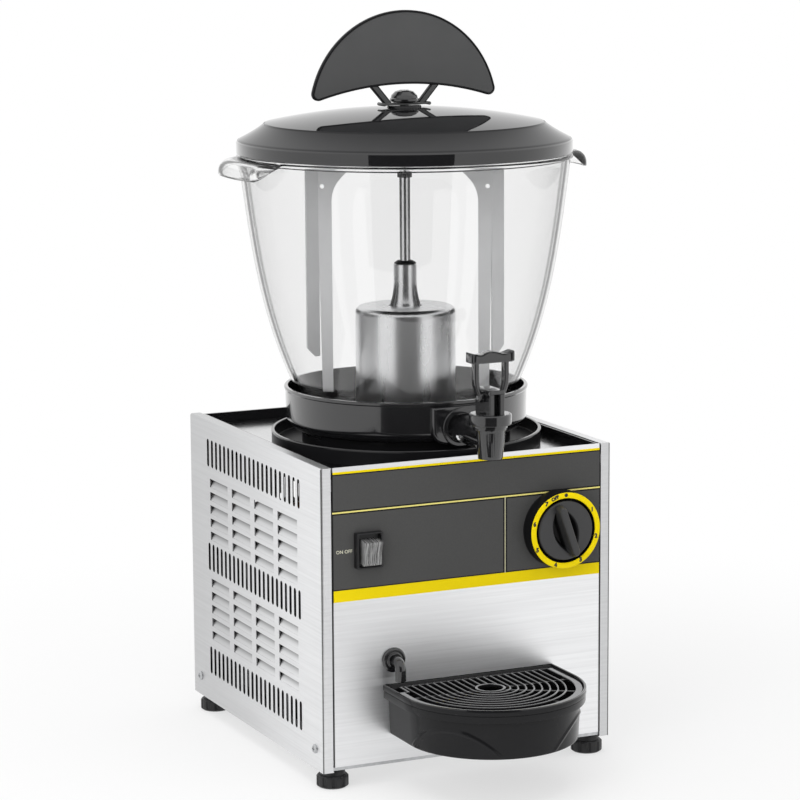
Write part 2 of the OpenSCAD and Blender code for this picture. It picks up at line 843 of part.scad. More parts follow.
// Inlet for a mains lead
module cable_gland() {
    color([0.06, 0.06, 0.06]) difference() {
        union() {
            rod_y(rear_inner_y - 12, rear_face_y + 0.2, gland_x, gland_z, gland_r);
            rod_y(rear_face_y, rear_face_y + 2.6, gland_x, gland_z, gland_r + 4);
            translate([gland_x, rear_inner_y - 6, gland_z]) rotate([-90, 0, 0])
                cylinder(r = gland_r + 4, h = 6, $fn = 6);
        }
        rod_y(rear_inner_y - 13, rear_y, gland_x, gland_z, cord_r);
    }
}

// Drain

module drain_grommet() {
    color([0.05, 0.05, 0.05]) translate([drain_x, front_y, drain_z]) rotate([90, 0, 0]) turned([
        [drain_r, -4], [10, -4], [10, -sheet], [9, -sheet], [9, 0], [11, 0], [11, 1.5], [9.5, 3],
        [7, 3], [6.5, 5], [drain_r, 5]]);
}

module drain_elbow() {
    bore = drain_r - 1.6;
    y = front_y - drain_ahead;
    c = [drain_x, y + drain_bend, drain_z - drain_bend];
    color([0.05, 0.05, 0.05]) difference() {
        union() {
            rod_y(c[1], front_y + 30, drain_x, drain_z, drain_r);
            drain_bend_ring(c, drain_r);
            rod_z(drain_end_z, c[2], drain_x, y, drain_r);
        }
        rod_y(c[1] - eps, front_y + 31, drain_x, drain_z, bore);
        drain_bend_ring(c, bore);
        rod_z(drain_end_z - 1, c[2] + eps, drain_x, y, bore);
    }
}

// Quarter turn from the level run to the outlet
module drain_bend_ring(c, r) {
    translate(c) rotate([90, 0, 90]) rotate([0, 0, 89])
        rotate_extrude(angle = 92) translate([drain_bend, 0]) circle(r = r, $fn = 32);
}

module drain_hose() {
    wall = 1.6;
    color([0.75, 0.75, 0.72]) difference() {
        union() {
            rod_y(front_y + 16, hose_y, drain_x, drain_z, drain_r + wall);
            translate([drain_x, hose_y, drain_z]) sphere(r = drain_r + wall + 0.6);
            rod_z(drain_z, well_z - sheet, drain_x, hose_y, drain_r + wall);
        }
        rod_y(front_y + 15, hose_y, drain_x, drain_z, drain_r);
        rod_z(drain_z, well_z, drain_x, hose_y, drain_r - 0.5);
    }
}

// Fasteners and feet

// Domed screw with a cross recess, head up from z = 0
module panel_screw() {
    head_r = 4.2;
    shank = 8;
    difference() {
        union() {
            turned([[0, 0], [head_r, 0], [head_r, 0.8], [3, 2], [0, 2.3]]);
            translate([0, 0, -shank]) cylinder(r = screw_r, h = shank + 0.1);
        }
        translate([-0.5, -2.4, 1.3]) cube([1, 4.8, 2]);
        translate([-2.4, -0.5, 1.3]) cube([4.8, 1, 2]);
    }
}

module side_screw(s, y, z) {
    translate([s * side_x, y, z]) rotate([0, s * 90, 0]) panel_screw();
}

module panel_screws() {
    color("silver") {
        for (s = [-1, 1], y = [-side_screw_dy, side_screw_dy])
            side_screw(s, mid_y + y, screw_z);
        for (x = [-rear_screw_x, rear_screw_x], z = [rear_screw_z0, rear_screw_z1])
            translate([x, rear_face_y, z]) rotate([-90, 0, 0]) panel_screw();
    }
}

module foot(x, y) {
    lobes = 10;
    knob_h = 11;
    color([0.06, 0.06, 0.06]) translate([x, mid_y + y, 0]) {
        difference() {
            turned([[0, 0], [foot_r - 2, 0], [foot_r, 1.5], [foot_r, knob_h - 1.5],
                [foot_r - 1.5, knob_h], [0, knob_h]]);
            for (i = [0 : lobes - 1])
                rotate([0, 0, i * 360 / lobes]) translate([foot_r + 1, 0, 2])
                    cylinder(r = 2.2, h = knob_h, $fn = 24);
        }
        rod_z(knob_h - 1, foot_h - gap, 0, 0, foot_r - 3);
        rod_z(foot_h - 1, foot_h + 18, 0, 0, stud_r);
    }
}

module foot_front_left() {
    foot(-foot_x, -foot_dy);
}

module foot_front_right() {
    foot(foot_x, -foot_dy);
}

module foot_rear_left() {
    foot(-foot_x, foot_dy);
}

module foot_rear_right() {
    foot(foot_x, foot_dy);
}

// Bowl

function wall_r(t) = cubic(bowl_foot_r, bowl_low_r, bowl_high_r, bowl_rim_r, t);

// Grip lug: a lip that leaves the rim level and hooks down
module lug_2d() {
    t = 3.3;
    bend = 10;
    c = [lug_reach - bend - t / 2, rim_z - 2 - bend - t / 2];
    translate([bowl_rim_r - 2.2, c[1] + bend - t / 2]) square([c[0] - bowl_rim_r + 2.3, t]);
    intersection() {
        difference() {
            translate(c) circle(r = bend + t / 2);
            translate(c) circle(r = bend - t / 2);
        }
        translate([c[0], c[1] - 3]) square([2 * bend, 2 * bend]);
    }
}

// Outer line of the bowl's wall, from its foot to its rim
function wall_line() =
    [for (i = [0 : curve_steps]) let (t = i / curve_steps) [wall_r(t), curve_z + bowl_h * t]];

module bowl() {
    color([0.85, 0.9, 0.95, 0.35]) difference() {
        union() {
            on_axis() turned(concat(
                [[dome_hole_r, bowl_z], [bowl_foot_r - 9, bowl_z]],
                wall_line(),
                [for (i = [curve_steps : -1 : 0]) let (t = i / curve_steps)
                    [wall_r(t) - bowl_wall, curve_z + bowl_h * t]],
                [[bowl_foot_r - 10, bowl_z + bowl_floor], [dome_hole_r, bowl_z + bowl_floor]]));
            rod_y(boss_y + gasket_t, pad_y, 0, tap_z, stem_r + 3.4);
        }
        rod_y(boss_y - 5, pad_y + 5, 0, tap_z, stem_r + 0.1);
    }
}

// Two grip lugs that are bonded to the wall just under its rim
module bowl_lugs() {
    color([0.85, 0.9, 0.95, 0.35]) on_axis() difference() {
        for (a = [-lug_arc / 2, 180 - lug_arc / 2])
            rotate([0, 0, a]) rotate_extrude(angle = lug_arc) lug_2d();
        turned(concat([[0, curve_z]], wall_line(), [[0, rim_z]]));
    }
}

// Black tub with a rolled rim and an oval boss for the tap
module bowl_tub() {
    boss_r = 16;
    boss_half = 8;
    in_r = 60;
    bend_r = tub_r - tub_bend - 0.5;
    top = tub_z + tub_h;
    color([0.04, 0.04, 0.04]) difference() {
        union() {
            on_axis() turned(concat(
                [[in_r, tub_z], [bend_r, tub_z]],
                arc([bend_r, tub_z + tub_bend], tub_bend, -90, 0, 8),
                [[tub_r, top - 3.5], [tub_r + 0.9, top - 2.5], [tub_r + 0.9, top - 0.8], [tub_r, top],
                    [tub_r - tub_wall, top]],
                arc([bend_r, tub_z + tub_bend], tub_bend - tub_wall, 0, -90, 8),
                [[bend_r - 7.5, bowl_z], [in_r, bowl_z]]));
            hull() for (x = [-boss_half, boss_half])
                rod_y(tub_boss_y, boss_y + gasket_t, x, tap_z, boss_r);
        }
        rod_y(tub_boss_y - 1, axis_y - 90, 0, tap_z, barrel_r + 0.1);
    }
}

module bowl_seal() {
    color([0.1, 0.1, 0.1]) on_axis() turned([
        [dome_r + gap, bowl_z - 1.5], [dome_hole_r + 2, bowl_z - 1.5], [dome_hole_r + 2, bowl_z],
        [dome_hole_r, bowl_z], [dome_hole_r, bowl_z + bowl_floor], [dome_hole_r + 2, bowl_z + bowl_floor],
        [dome_hole_r + 1, bowl_z + bowl_floor + 1.5], [dome_r + gap, bowl_z + bowl_floor + 1.5]]);
}

// Tap

module tap_body() {
    collar_r = spout_top_r + 1.6;
    chamber_r = 10;
    outlet_r = 6.5;
    color([0.05, 0.05, 0.05]) difference() {
        union() {
            translate([0, tap_y, 0]) turned([
                [0, spout_z], [spout_r, spout_z], [spout_top_r, spout_top_z], [collar_r, spout_top_z + 0.4],
                [collar_r, collar_top_z - 1], [collar_r - 0.6, collar_top_z], [0, collar_top_z]]);
            rod_y(tap_y, boss_y, 0, tap_z, barrel_r);
            rod_y(boss_y - 1, pad_y + 12, 0, tap_z, stem_r);
        }
        translate([0, tap_y, 0]) {
            rod_z(spout_z - 1, seat_z + 1, 0, 0, outlet_r);
            rod_z(seat_z, collar_top_z + 1, 0, 0, chamber_r);
        }
        rod_y(tap_y, pad_y + 13, 0, tap_z, duct_r);
        at_tap_screw() translate([0, 0, barrel_r - screw_depth])
            cylinder(r = tap_screw_r + run_fit, h = screw_depth + 5);
    }
}

module tap_gasket() {
    color([0.15, 0.15, 0.15]) difference() {
        rod_y(boss_y, boss_y + gasket_t, 0, tap_z, stem_r + 3);
        rod_y(boss_y - 1, boss_y + 3, 0, tap_z, stem_r + run_fit);
    }
}

module tap_nut() {
    nut_r = 10.4;
    nut_t = 6;
    color([0.1, 0.1, 0.1]) difference() {
        translate([0, pad_y, tap_z]) rotate([-90, 0, 0]) cylinder(r = nut_r, h = nut_t, $fn = 6);
        rod_y(pad_y - 1, pad_y + nut_t + 1, 0, tap_z, stem_r + run_fit);
    }
}

// Places a piece on the side of the barrel that the clamping screw goes in, pointing out
module at_tap_screw() {
    tilt = 24;
    translate([0, axis_y - 132, tap_z]) rotate([0, -90 - tilt, 0]) children();
}

module tap_screw() {
    head_r = 3;
    color("silver") at_tap_screw() {
        translate([0, 0, barrel_r - screw_depth]) cylinder(r = tap_screw_r, h = screw_depth + 1);
        translate([0, 0, barrel_r + 0.2]) turned([
            [0, 0], [head_r, 0], [head_r, 0.8], [head_r - 1, 1.8], [0, 2.1]]);
    }
}

// Ring and block that carry the lever, with the slot that the lever's tongue works in
module tap_bonnet() {
    slot_half = 2.7;
    slot_depth = 7;
    front = tap_y - block_d / 2;
    color([0.05, 0.05, 0.05]) difference() {
        union() {
            translate([0, tap_y, 0]) turned([
                [0, collar_top_z], [bonnet_r - 1, collar_top_z], [bonnet_r, collar_top_z + 1],
                [bonnet_r, bonnet_top_z - 2], [bonnet_r - 2, bonnet_top_z], [0, bonnet_top_z]]);
            block(-block_w / 2, block_w / 2, front, front + block_d, bonnet_top_z - 1, block_top_z);
        }
        block(-slot_half, slot_half, front - 1, front + slot_depth, bonnet_top_z + 1, block_top_z - 3);
        translate([0, tap_y, 0]) {
            rod_z(collar_top_z - 1, spring_top_z, 0, 0, 7);
            rod_z(collar_top_z - 1, pivot_z - 2.5, 0, 0, plunger_r + run_fit);
        }
        rod_x(-block_w, block_w, tap_y, pivot_z, pin_r);
    }
}

module tap_pivot_pin() {
    reach = block_w / 2 + 5.5;
    color("silver") rod_x(-reach, reach, tap_y, pivot_z, pin_r);
}

// Lever with two legs that draw in to the pivot and a bar with a waved top
module tap_handle() {
    half = lever_w / 2;
    bar_z = pivot_z + lever_h - 10;
    leg_in = block_w / 2 + 0.5;
    leg_t = 4.6;
    leg_d = 7;
    bar_d = 12;
    spread = 4.2;
    wave = [for (i = [0 : 16]) let (u = i / 8 - 1) [half * u, pivot_z + lever_h - 2 + 1.6 * cos(u * 330)]];
    color([0.05, 0.05, 0.05]) difference() {
        union() {
            upright(tap_y - bar_d / 2, bar_d) polygon(concat([[half, bar_z], [-half, bar_z]], wave));
            upright(tap_y - leg_d / 2, leg_d) for (s = [-1, 1])
                polygon(concat(
                    [for (i = [0 : 8]) let (t = i / 8)
                        [s * (leg_in + spread * sin(90 * t)), pivot_z + (bar_z + 1 - pivot_z) * t]],
                    [for (i = [8 : -1 : 0]) let (t = i / 8)
                        [s * (leg_in + leg_t + spread * sin(90 * t)), pivot_z + (bar_z + 1 - pivot_z) * t]]));
            for (x = [leg_in, -leg_in - leg_t])
                rod_x(x, x + leg_t, tap_y, pivot_z, leg_d / 2 + 1);
        }
        rod_x(-20, 20, tap_y, pivot_z, pin_r + run_fit);
    }
}

module tap_plunger() {
    disc_r = 8;
    color("whitesmoke") translate([0, tap_y, 0]) {
        rod_z(seal_z, pivot_z - 9, 0, 0, plunger_r);
        rod_z(seal_z, disc_z, 0, 0, disc_r);
    }
}

module plunger_seal() {
    color([0.2, 0.2, 0.2]) translate([0, tap_y, 0]) rod_z(seat_z, seal_z, 0, 0, 9);
}

// Closing spring inside the tap, drawn as a sleeve
module tap_spring() {
    out_r = 6;
    in_r = 4.2;
    color("silver") translate([0, tap_y, 0]) difference() {
        rod_z(disc_z, spring_top_z, 0, 0, out_r);
        rod_z(disc_z - 1, spring_top_z + 1, 0, 0, in_r);
    }
}

// Lid and sign

crown_rise = 13.2;
crown_z = rim_z + lid_h - crown_rise;
crown_arc_r = (crown_r * crown_r + crown_rise * crown_rise) / (2 * crown_rise);

function crown_point(r, drop) =
    [r, lid_top_z - crown_arc_r + sqrt(crown_arc_r * crown_arc_r - r * r) - drop];

module lid() {
    steps = 8;
    shell = 2.6;
    skirt = [136.5, 139.5];
    bevel = [133.5, 19.3];
    skirt_h = 4;
    color([0.05, 0.05, 0.05]) on_axis() difference() {
        union() {
            turned(concat(
                [[skirt[0], rim_z - skirt_h], [skirt[1], rim_z - skirt_h], [skirt[1], rim_z], [lid_r, rim_z],
                    [lid_r, rim_z + lid_band]],
                [for (i = [0 : steps]) let (t = i / steps)
                    [quad(lid_r - 1.5, bevel[0], crown_r + 0.4, t),
                        quad(rim_z + lid_band + 1.8, rim_z + bevel[1], crown_z - 0.8, t)]],
                [for (i = [0 : steps]) crown_point(crown_r * (1 - i / steps), 0)],
                [for (i = [0 : steps]) crown_point((crown_r - 2) * i / steps, shell)],
                [[skirt[0], rim_z + lid_band + 3]]));
            rod_z(lid_top_z - 1.5, sign_z, 0, 0, 15);
        }
        rod_z(rim_z, sign_z + 1, 0, 0, lid_stud_r + run_fit);
    }
}

// Crescent between an outer arc and a shallow lower arc, drawn in from its edge by inset
module crescent_2d(inset) {
    tip_z = sign_z + 4.3;
    tip_h = 7.5;
    rise = sign_z + sign_h - tip_z - tip_h;
    outer_r = (pow(sign_w / 2, 2) + rise * rise) / (2 * rise);
    arch = 14.5;
    lower_r = (pow(sign_w / 2, 2) + arch * arch) / (2 * arch);
    difference() {
        intersection() {
            translate([0, sign_z + sign_h - outer_r]) circle(r = outer_r - inset);
            translate([inset - sign_w / 2, sign_z]) square([sign_w - 2 * inset, sign_h + 5]);
        }
        translate([0, tip_z + arch - lower_r]) circle(r = lower_r + inset, $fn = 180);
    }
}

module lid_sign() {
    border = 2.6;
    plate_t = sign_t - 1.4;
    bar = 23.4;
    strut = [[12.5, 2], [20, 2], [34, 18], [26, 18]];
    color([0.22, 0.22, 0.22]) difference() {
        union() {
            upright(axis_y - plate_t / 2, plate_t) crescent_2d(0.5);
            upright(axis_y - sign_t / 2, sign_t) difference() {
                crescent_2d(0);
                crescent_2d(border);
            }
            upright(axis_y - sign_t / 2, sign_t) for (s = [-1, 1])
                polygon([for (p = strut) [s * p[0], sign_z + p[1]]]);
            block(-bar, bar, axis_y - 7, axis_y + 7, sign_z, sign_z + bar_t);
        }
        on_axis() rod_z(sign_z - 1, sign_z + bar_t + 1, 0, 0, lid_stud_r + run_fit);
    }
}

// Round knob whose stud clamps the sign to the lid
module lid_knob() {
    knob = 13;
    knob_h = 11;
    z0 = sign_z + bar_t;
    color([0.08, 0.08, 0.08]) on_axis() turned(concat(
        [[0, z0 - 14], [lid_stud_r, z0 - 14], [lid_stud_r, z0]],
        [for (i = [0 : 8]) [knob * cos(i * 11.25), z0 + knob_h * sin(i * 11.25)]]));
}

// Stirrer

// Inverted U of sheet whose outer edges fold opposite ways, with a notch to clear the bowl's curve
module stirrer_frame() {
    foot_z = tap_z + 15;
    window_top = head_z - bridge_h;
    window_r = 30;
    taper = 4;
    in_r = fold_r - blade_w;
    notch_z = tub_z + 69;
    wing_low = 5;
    wing = [[0, notch_z - 6], [wing_low, notch_z - 6], [wing_w - 3, notch_z], [wing_w, notch_z + 3],
        [wing_w, head_z], [0, head_z]];
    color("silver") on_axis() rotate([0, 0, stir_turn]) {
        upright(-stir_t / 2, stir_t) difference() {
            polygon([[-fold_r, head_z], [fold_r, head_z], [fold_r - taper, foot_z],
                [taper - fold_r, foot_z]]);
            translate([-in_r, foot_z - 1]) square([2 * in_r, window_top - window_r - foot_z + 1]);
            translate([window_r - in_r, window_top - window_r - 1])
                square([2 * (in_r - window_r), window_r + 1]);
            for (s = [-1, 1])
                translate([s * (in_r - window_r), window_top - window_r]) circle(r = window_r);
            for (s = [-1, 1])
                translate([s * (fold_r - 5), head_z - 26]) circle(r = 2, $fn = 24);
        }
        for (a = [0, 180])
            rotate([0, 0, a]) translate([fold_r - 0.9, -stir_t / 2, 0]) rotate([90, 0, 45])
                translate([0, 0, -stir_t]) linear_extrude(stir_t) polygon(wing);
    }
}

// Hub that drops over the flat of the shaft, slotted to hold the frame
module stirrer_hub() {
    slot_half = stir_t / 2 + run_fit;
    color([0.06, 0.06, 0.06]) on_axis() difference() {
        rod_z(hub_z, head_z, 0, 0, hub_r);
        rotate([0, 0, stir_turn]) block(-hub_r - 1, hub_r + 1, -slot_half, slot_half,
            head_z - bridge_h - run_fit, head_z + 1);
        difference() {
            rod_z(hub_z - 1, shaft_top_z + 0.5, 0, 0, shaft_r + run_fit);
            block(shaft_r - shaft_flat + 0.1, shaft_r + 1, -shaft_r - 1, shaft_r + 1,
                hub_z - 2, shaft_top_z + 1);
        }
    }
}

// Drip tray

// Straight sides from the cabinet to a half round front
module tray_outline(r, back) {
    translate([0, front_y - tray_ahead]) circle(r = r);
    translate([-r, front_y - tray_ahead]) square([2 * r, tray_ahead - back]);
}

module tray_level(z0, z1, r, back) {
    translate([0, 0, z0]) linear_extrude(z1 - z0) difference() {
        tray_outline(r, back);
        translate([-2 * r, front_y - back]) square([4 * r, 2 * r]);
    }
}

module drip_tray() {
    band_z = rim_top_z - 12;
    ledge_z = grid_z;
    color([0.05, 0.05, 0.05]) {
        difference() {
            union() {
                tray_level(tray_z, band_z + 1, tray_body_r, gap);
                tray_level(band_z, rim_top_z, tray_r, gap);
            }
            tray_level(tray_z + tray_wall, ledge_z + 1, tray_body_r - tray_wall, gap + tray_wall);
            tray_level(ledge_z, rim_top_z + 1, grid_r + 0.4, gap + tray_wall);
        }
        for (x = [-tongue_x, tongue_x])
            block(x - tongue_w / 2, x + tongue_w / 2, front_y - gap - 1, front_y + 10,
                tongue_z, tongue_z + tongue_h);
    }
}

// Plate with slots that follow the tray's outline, bridged by spokes
module drip_grid() {
    hole_r = 12;
    pitch = (grid_r - 4 - hole_r - 2.4) / grid_slots;
    open = 0.62 * pitch;
    back = gap + tray_wall + 0.8;
    spoke = 2.4;
    color([0.05, 0.05, 0.05]) translate([0, 0, grid_z]) linear_extrude(grid_t) difference() {
        tray_outline(grid_r, back);
        translate([-2 * tray_r, front_y - back]) square([4 * tray_r, 2 * tray_r]);
        translate([0, front_y - tray_ahead]) circle(r = hole_r);
        difference() {
            for (i = [0 : grid_slots - 1])
                grid_slot_2d(hole_r + 2.4 + i * pitch, open);
            translate([-tray_r, front_y - back - 4]) square([2 * tray_r, 6]);
            translate([0, front_y - tray_ahead]) for (a = [-150, -120, -60, -30])
                rotate([0, 0, a]) translate([0, -spoke / 2]) square([tray_r, spoke]);
            translate([-tray_r, front_y - tray_ahead]) square([2 * tray_r, spoke]);
        }
        translate([drain_x - notch_half, front_y - notch_len]) square([2 * notch_half, notch_len]);
    }
}

module grid_slot_2d(r, w) {
    difference() {
        tray_outline(r + w, 0);
        tray_outline(r, -1);
    }
}

base_pan();
left_side_panel();
right_side_panel();
front_panel();
rear_panel();
top_plate();
top_trim();
control_label();
base_saucer();
evaporator_dome();
evaporator_coil();
shaft_bush();
switch_housing();
switch_rocker();
dial_ring();
thermostat_body();
thermostat_knob();
compressor();
compressor_mounts();
condenser();
fan_shroud();
fan_strap();
fan_motor();
fan_blades();
filter_drier();
refrigerant_pipes();
gear_motor();
motor_bracket();
drive_shaft();
terminal_block();
cable_gland();
drain_grommet();
drain_elbow();
drain_hose();
panel_screws();
foot_front_left();
foot_front_right();
foot_rear_left();
foot_rear_right();
bowl();
bowl_lugs();
bowl_tub();
bowl_seal();
tap_body();
tap_gasket();
tap_nut();
tap_screw();
tap_bonnet();
tap_pivot_pin();
tap_handle();
tap_plunger();
plunger_seal();
tap_spring();
lid();
lid_sign();
lid_knob();
stirrer_frame();
stirrer_hub();
drip_tray();
drip_grid();
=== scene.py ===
"""Looks of the cold drink dispenser: its finishes, its fuller shapes and the studio it stands in.

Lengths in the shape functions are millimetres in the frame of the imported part. Meshes are scaled to metres.
"""

import math

import bmesh
import bpy
from mathutils import Matrix, Vector


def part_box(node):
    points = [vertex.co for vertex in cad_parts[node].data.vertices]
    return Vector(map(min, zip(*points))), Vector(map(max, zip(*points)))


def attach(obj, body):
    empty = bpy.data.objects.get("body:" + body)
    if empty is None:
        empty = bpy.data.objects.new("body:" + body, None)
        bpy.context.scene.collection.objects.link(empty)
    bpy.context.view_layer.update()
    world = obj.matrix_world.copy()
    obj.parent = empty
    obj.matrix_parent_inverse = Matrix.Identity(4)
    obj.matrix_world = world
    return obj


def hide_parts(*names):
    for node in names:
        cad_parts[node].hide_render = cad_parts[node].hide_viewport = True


bl_info = {
    "name": "Cold Drink Dispenser",
    "version": (1, 0, 0),
    "blender": (4, 5, 0),
    "location": "View3D > Sidebar > Dispenser",
    "description": "Finishes, fuller shapes and a studio for the packed drink dispenser",
    "category": "Object",
}

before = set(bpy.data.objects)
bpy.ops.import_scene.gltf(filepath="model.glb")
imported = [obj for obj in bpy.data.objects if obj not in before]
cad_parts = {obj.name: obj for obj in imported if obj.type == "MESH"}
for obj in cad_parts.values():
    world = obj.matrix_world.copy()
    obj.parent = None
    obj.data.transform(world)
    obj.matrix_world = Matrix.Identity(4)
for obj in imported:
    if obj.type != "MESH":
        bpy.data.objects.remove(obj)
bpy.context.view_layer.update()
MM = 0.001
WHITE = (1.0, 1.0, 1.0, 1.0)


def node_box(node):
    """Low and high corner of a part of the frame, in millimetres."""
    low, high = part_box(node)
    return low / MM, high / MM


FRONT_Y = node_box("control_label")[0].y
DOME_LOW, DOME_HIGH = node_box("evaporator_dome")
AXIS = (0.0, (DOME_LOW.y + DOME_HIGH.y) / 2)
RIM_Z = node_box("bowl")[1].z
BOWL_FOOT_Z, SAUCER_Z = 302.0, 275.0
TAP_Y, TRAY_Y = -134.0, -133.5


def linked(name, data):
    """A new object in the scene."""
    obj = bpy.data.objects.new(name, data)
    bpy.context.scene.collection.objects.link(obj)
    return obj


def new_material(name):
    material = bpy.data.materials.new(name)
    material.use_nodes = True
    return material


# Shader wiring


def two_way(operation):
    """The two methods of an arithmetic sign: the wire before it, and the wire after it."""
    settings = {"operation": operation}
    return (lambda wire, other: wire.math(operation, other),
            lambda wire, other: wire.graph.node("ShaderNodeMath", settings, {0: other, 1: wire}))


class Wire:
    """A node's socket that joins in arithmetic: each operation adds a Math node."""

    def __init__(self, graph, socket):
        self.graph = graph
        self.socket = socket

    def math(self, operation, other=None, clamp=False):
        inputs = {0: self} if other is None else {0: self, 1: other}
        return self.graph.node("ShaderNodeMath", {"operation": operation, "use_clamp": clamp}, inputs)

    __add__, __radd__ = two_way("ADD")
    __sub__, __rsub__ = two_way("SUBTRACT")
    __mul__, __rmul__ = two_way("MULTIPLY")
    __truediv__, __rtruediv__ = two_way("DIVIDE")
    __pow__, __rpow__ = two_way("POWER")
    __lt__ = two_way("LESS_THAN")[0]
    __gt__ = two_way("GREATER_THAN")[0]

    def __abs__(self):
        return self.math("ABSOLUTE")

    def clamped(self):
        return self.math("ADD", 0.0, clamp=True)

    def ramp(self, low, high):
        """0 at low, 1 at high, smooth between."""
        settings = {"interpolation_type": "SMOOTHSTEP"}
        return self.graph.node("ShaderNodeMapRange", settings, {0: self, 1: low, 2: high})


class Graph:
    """A node tree that is filled from scratch."""

    def __init__(self, tree):
        self.tree = tree
        tree.nodes.clear()

    def feed(self, socket, value):
        if isinstance(value, Wire):
            self.tree.links.new(value.socket, socket)
        else:
            socket.default_value = value

    def add(self, kind, settings=None, inputs=None):
        """Adds a node: its settings first, then its sockets' values or links."""
        made = self.tree.nodes.new(kind)
        for key, value in (settings or {}).items():
            setattr(made, key, value)
        for key, value in (inputs or {}).items():
            self.feed(made.inputs[key], value)
        return made

    def node(self, kind, settings=None, inputs=None, output=0):
        """Adds a node and gives one of its outputs."""
        return Wire(self, self.add(kind, settings, inputs).outputs[output])

    def seen_plainly(self):
        """1 for rays from the camera, a reflection or a see-through surface."""
        ray = [self.node("ShaderNodeLightPath", output=kind)
               for kind in ("Is Camera Ray", "Is Glossy Ray", "Is Transmission Ray")]
        return (ray[0] + ray[1] + ray[2]).clamped()


class Finish(Graph):
    """A procedural surface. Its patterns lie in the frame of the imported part, in metres."""

    def __init__(self, name, constants):
        self.material = new_material(name)
        super().__init__(self.material.node_tree)
        shader = self.node("ShaderNodeBsdfPrincipled", None, constants)
        self.shader = shader.socket.node
        self.output = self.add("ShaderNodeOutputMaterial", None, {"Surface": shader})
        self.place = self.node("ShaderNodeTexCoord", output="Object")

    def vary(self, socket, value):
        self.feed(self.shader.inputs[socket], value)

    def axis(self, letter):
        return self.node("ShaderNodeSeparateXYZ", None, {0: self.place}, letter)

    def noise(self, per_metre, detail=2.0, roughness=0.5, offset=0.0):
        """Noise of one frequency, or of one for each of X, Y and Z."""
        scale = per_metre if isinstance(per_metre, tuple) else (per_metre,) * 3
        spot = self.node("ShaderNodeVectorMath", {"operation": "MULTIPLY_ADD"},
                         {0: self.place, 1: scale, 2: (offset,) * 3})
        return self.node("ShaderNodeTexNoise", {"noise_dimensions": "3D"},
                         {"Vector": spot, "Scale": 1.0, "Detail": detail, "Roughness": roughness})

    def mix(self, factor, low, high):
        return self.node("ShaderNodeMix", {"data_type": "RGBA"}, {0: factor, 6: low, 7: high}, 2)

    def mottle(self, factor, colour, low, high):
        """A colour between two of its own tones."""
        return self.mix(factor, rgba(colour, low), rgba(colour, high))

    def surface(self, colour, roughness, height, distance, strength):
        """Colour, gloss and relief of the finish, which is then done."""
        self.vary("Base Color", colour)
        self.vary("Roughness", roughness)
        relief = {"Strength": strength, "Distance": distance, "Height": height}
        self.vary("Normal", self.node("ShaderNodeBump", None, relief))
        return self.material

    def band(self, value, centre, half):
        """1 where value is within half of centre."""
        return abs(value - centre) < half


def rgba(colour, gain=1.0):
    return (colour[0] * gain, colour[1] * gain, colour[2] * gain, 1.0)


def colours():
    return bpy.context.scene.dispenser_colours


# Finishes


def brushed_steel(name, hairs, tone=0.70, rough=0.36, shade=None):
    """Brushed stainless sheet. hairs is the frequency of its hairlines along X, Y and Z. shade, when given, is a
    mask of painted shade: the colour goes towards black where it is low.
    """
    steel = colours().steel
    f = Finish(name, {"Metallic": 1.0})
    hair = f.noise(hairs, 4.0, 0.6)
    cloud = f.noise(7.0, 2.0, 0.5, 3.0)
    colour = f.mottle((hair * 0.7 + cloud * 0.3).ramp(0.25, 0.75), steel, tone * 0.92, tone * 1.06)
    # Painted shade: the shade mask darkens the steel's colour.
    if shade:
        colour = f.mix(shade(f), rgba(steel, 0.01), colour)
    return f.surface(colour, rough - 0.08 + hair * 0.1 + cloud * 0.07, hair, 0.00003, 0.5)


def front_painted_shade(f):
    """Painted shade: a dark line where the sheet turns in beside the flanges."""
    return 1.0 - (abs(f.axis("X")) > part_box("front_panel")[1].x - 0.0008) * 0.85


def side_painted_shade(f):
    """Painted shade: dimmer towards the rear, dark in the slots, up the louvres' flaps and along the front bend,
    and dimmer on the right panel's front flange.
    """
    louvre_rows, louvre_half = (0.201, 0.106), 0.030
    slot_rows, slot_half = (0.254, 0.1555, 0.056), 0.0135
    field_front, field_rear, flange_y = -0.088, 0.213, -0.0904
    sheet_x, flap_depth = 0.13998, 0.0033
    right = f.axis("X") > 0.0
    x, y, z = abs(f.axis("X")), f.axis("Y"), f.axis("Z")
    field = (y > field_front) * (y < field_rear)
    # Painted shade: the sheet dims towards the rear, the flaps darken towards their tops, the slots' walls go
    # black, the front bend darkens and the right front flange dims.
    rear = y.ramp(-0.09, 0.22)
    louvres = sum(f.band(z, row, louvre_half) for row in louvre_rows)
    flap = louvres * field * ((sheet_x - x) / flap_depth).clamped()
    slot = sum(f.band(z, row, slot_half) for row in slot_rows) * field * (x < 0.13992)
    flange = y < flange_y
    bend = (x > 0.1389 - right * 0.0007) * flange
    return ((1.0 - rear * 0.3) * (1.0 - (flap ** 2.2) * 0.96) * (1.0 - slot) * (1.0 - bend * 0.8)
            * (1.0 - right * flange * 0.22))


def bright_steel(name, rough, tone=0.78, hairs=(60.0, 60.0, 900.0), metallic=1.0, relief=0.4):
    """Smooth stainless steel with faint drawing lines and handling marks."""
    steel = colours().steel
    f = Finish(name, {"Metallic": metallic})
    line = f.noise(hairs, 3.0)
    smear = f.noise(22.0, 3.0, 0.6, 5.0)
    return f.surface(f.mottle(smear.ramp(0.3, 0.75), steel, tone, tone * 1.07),
                     rough * 0.8 + line * rough * 0.3 + smear * rough * 0.2, line, 0.00002, relief)


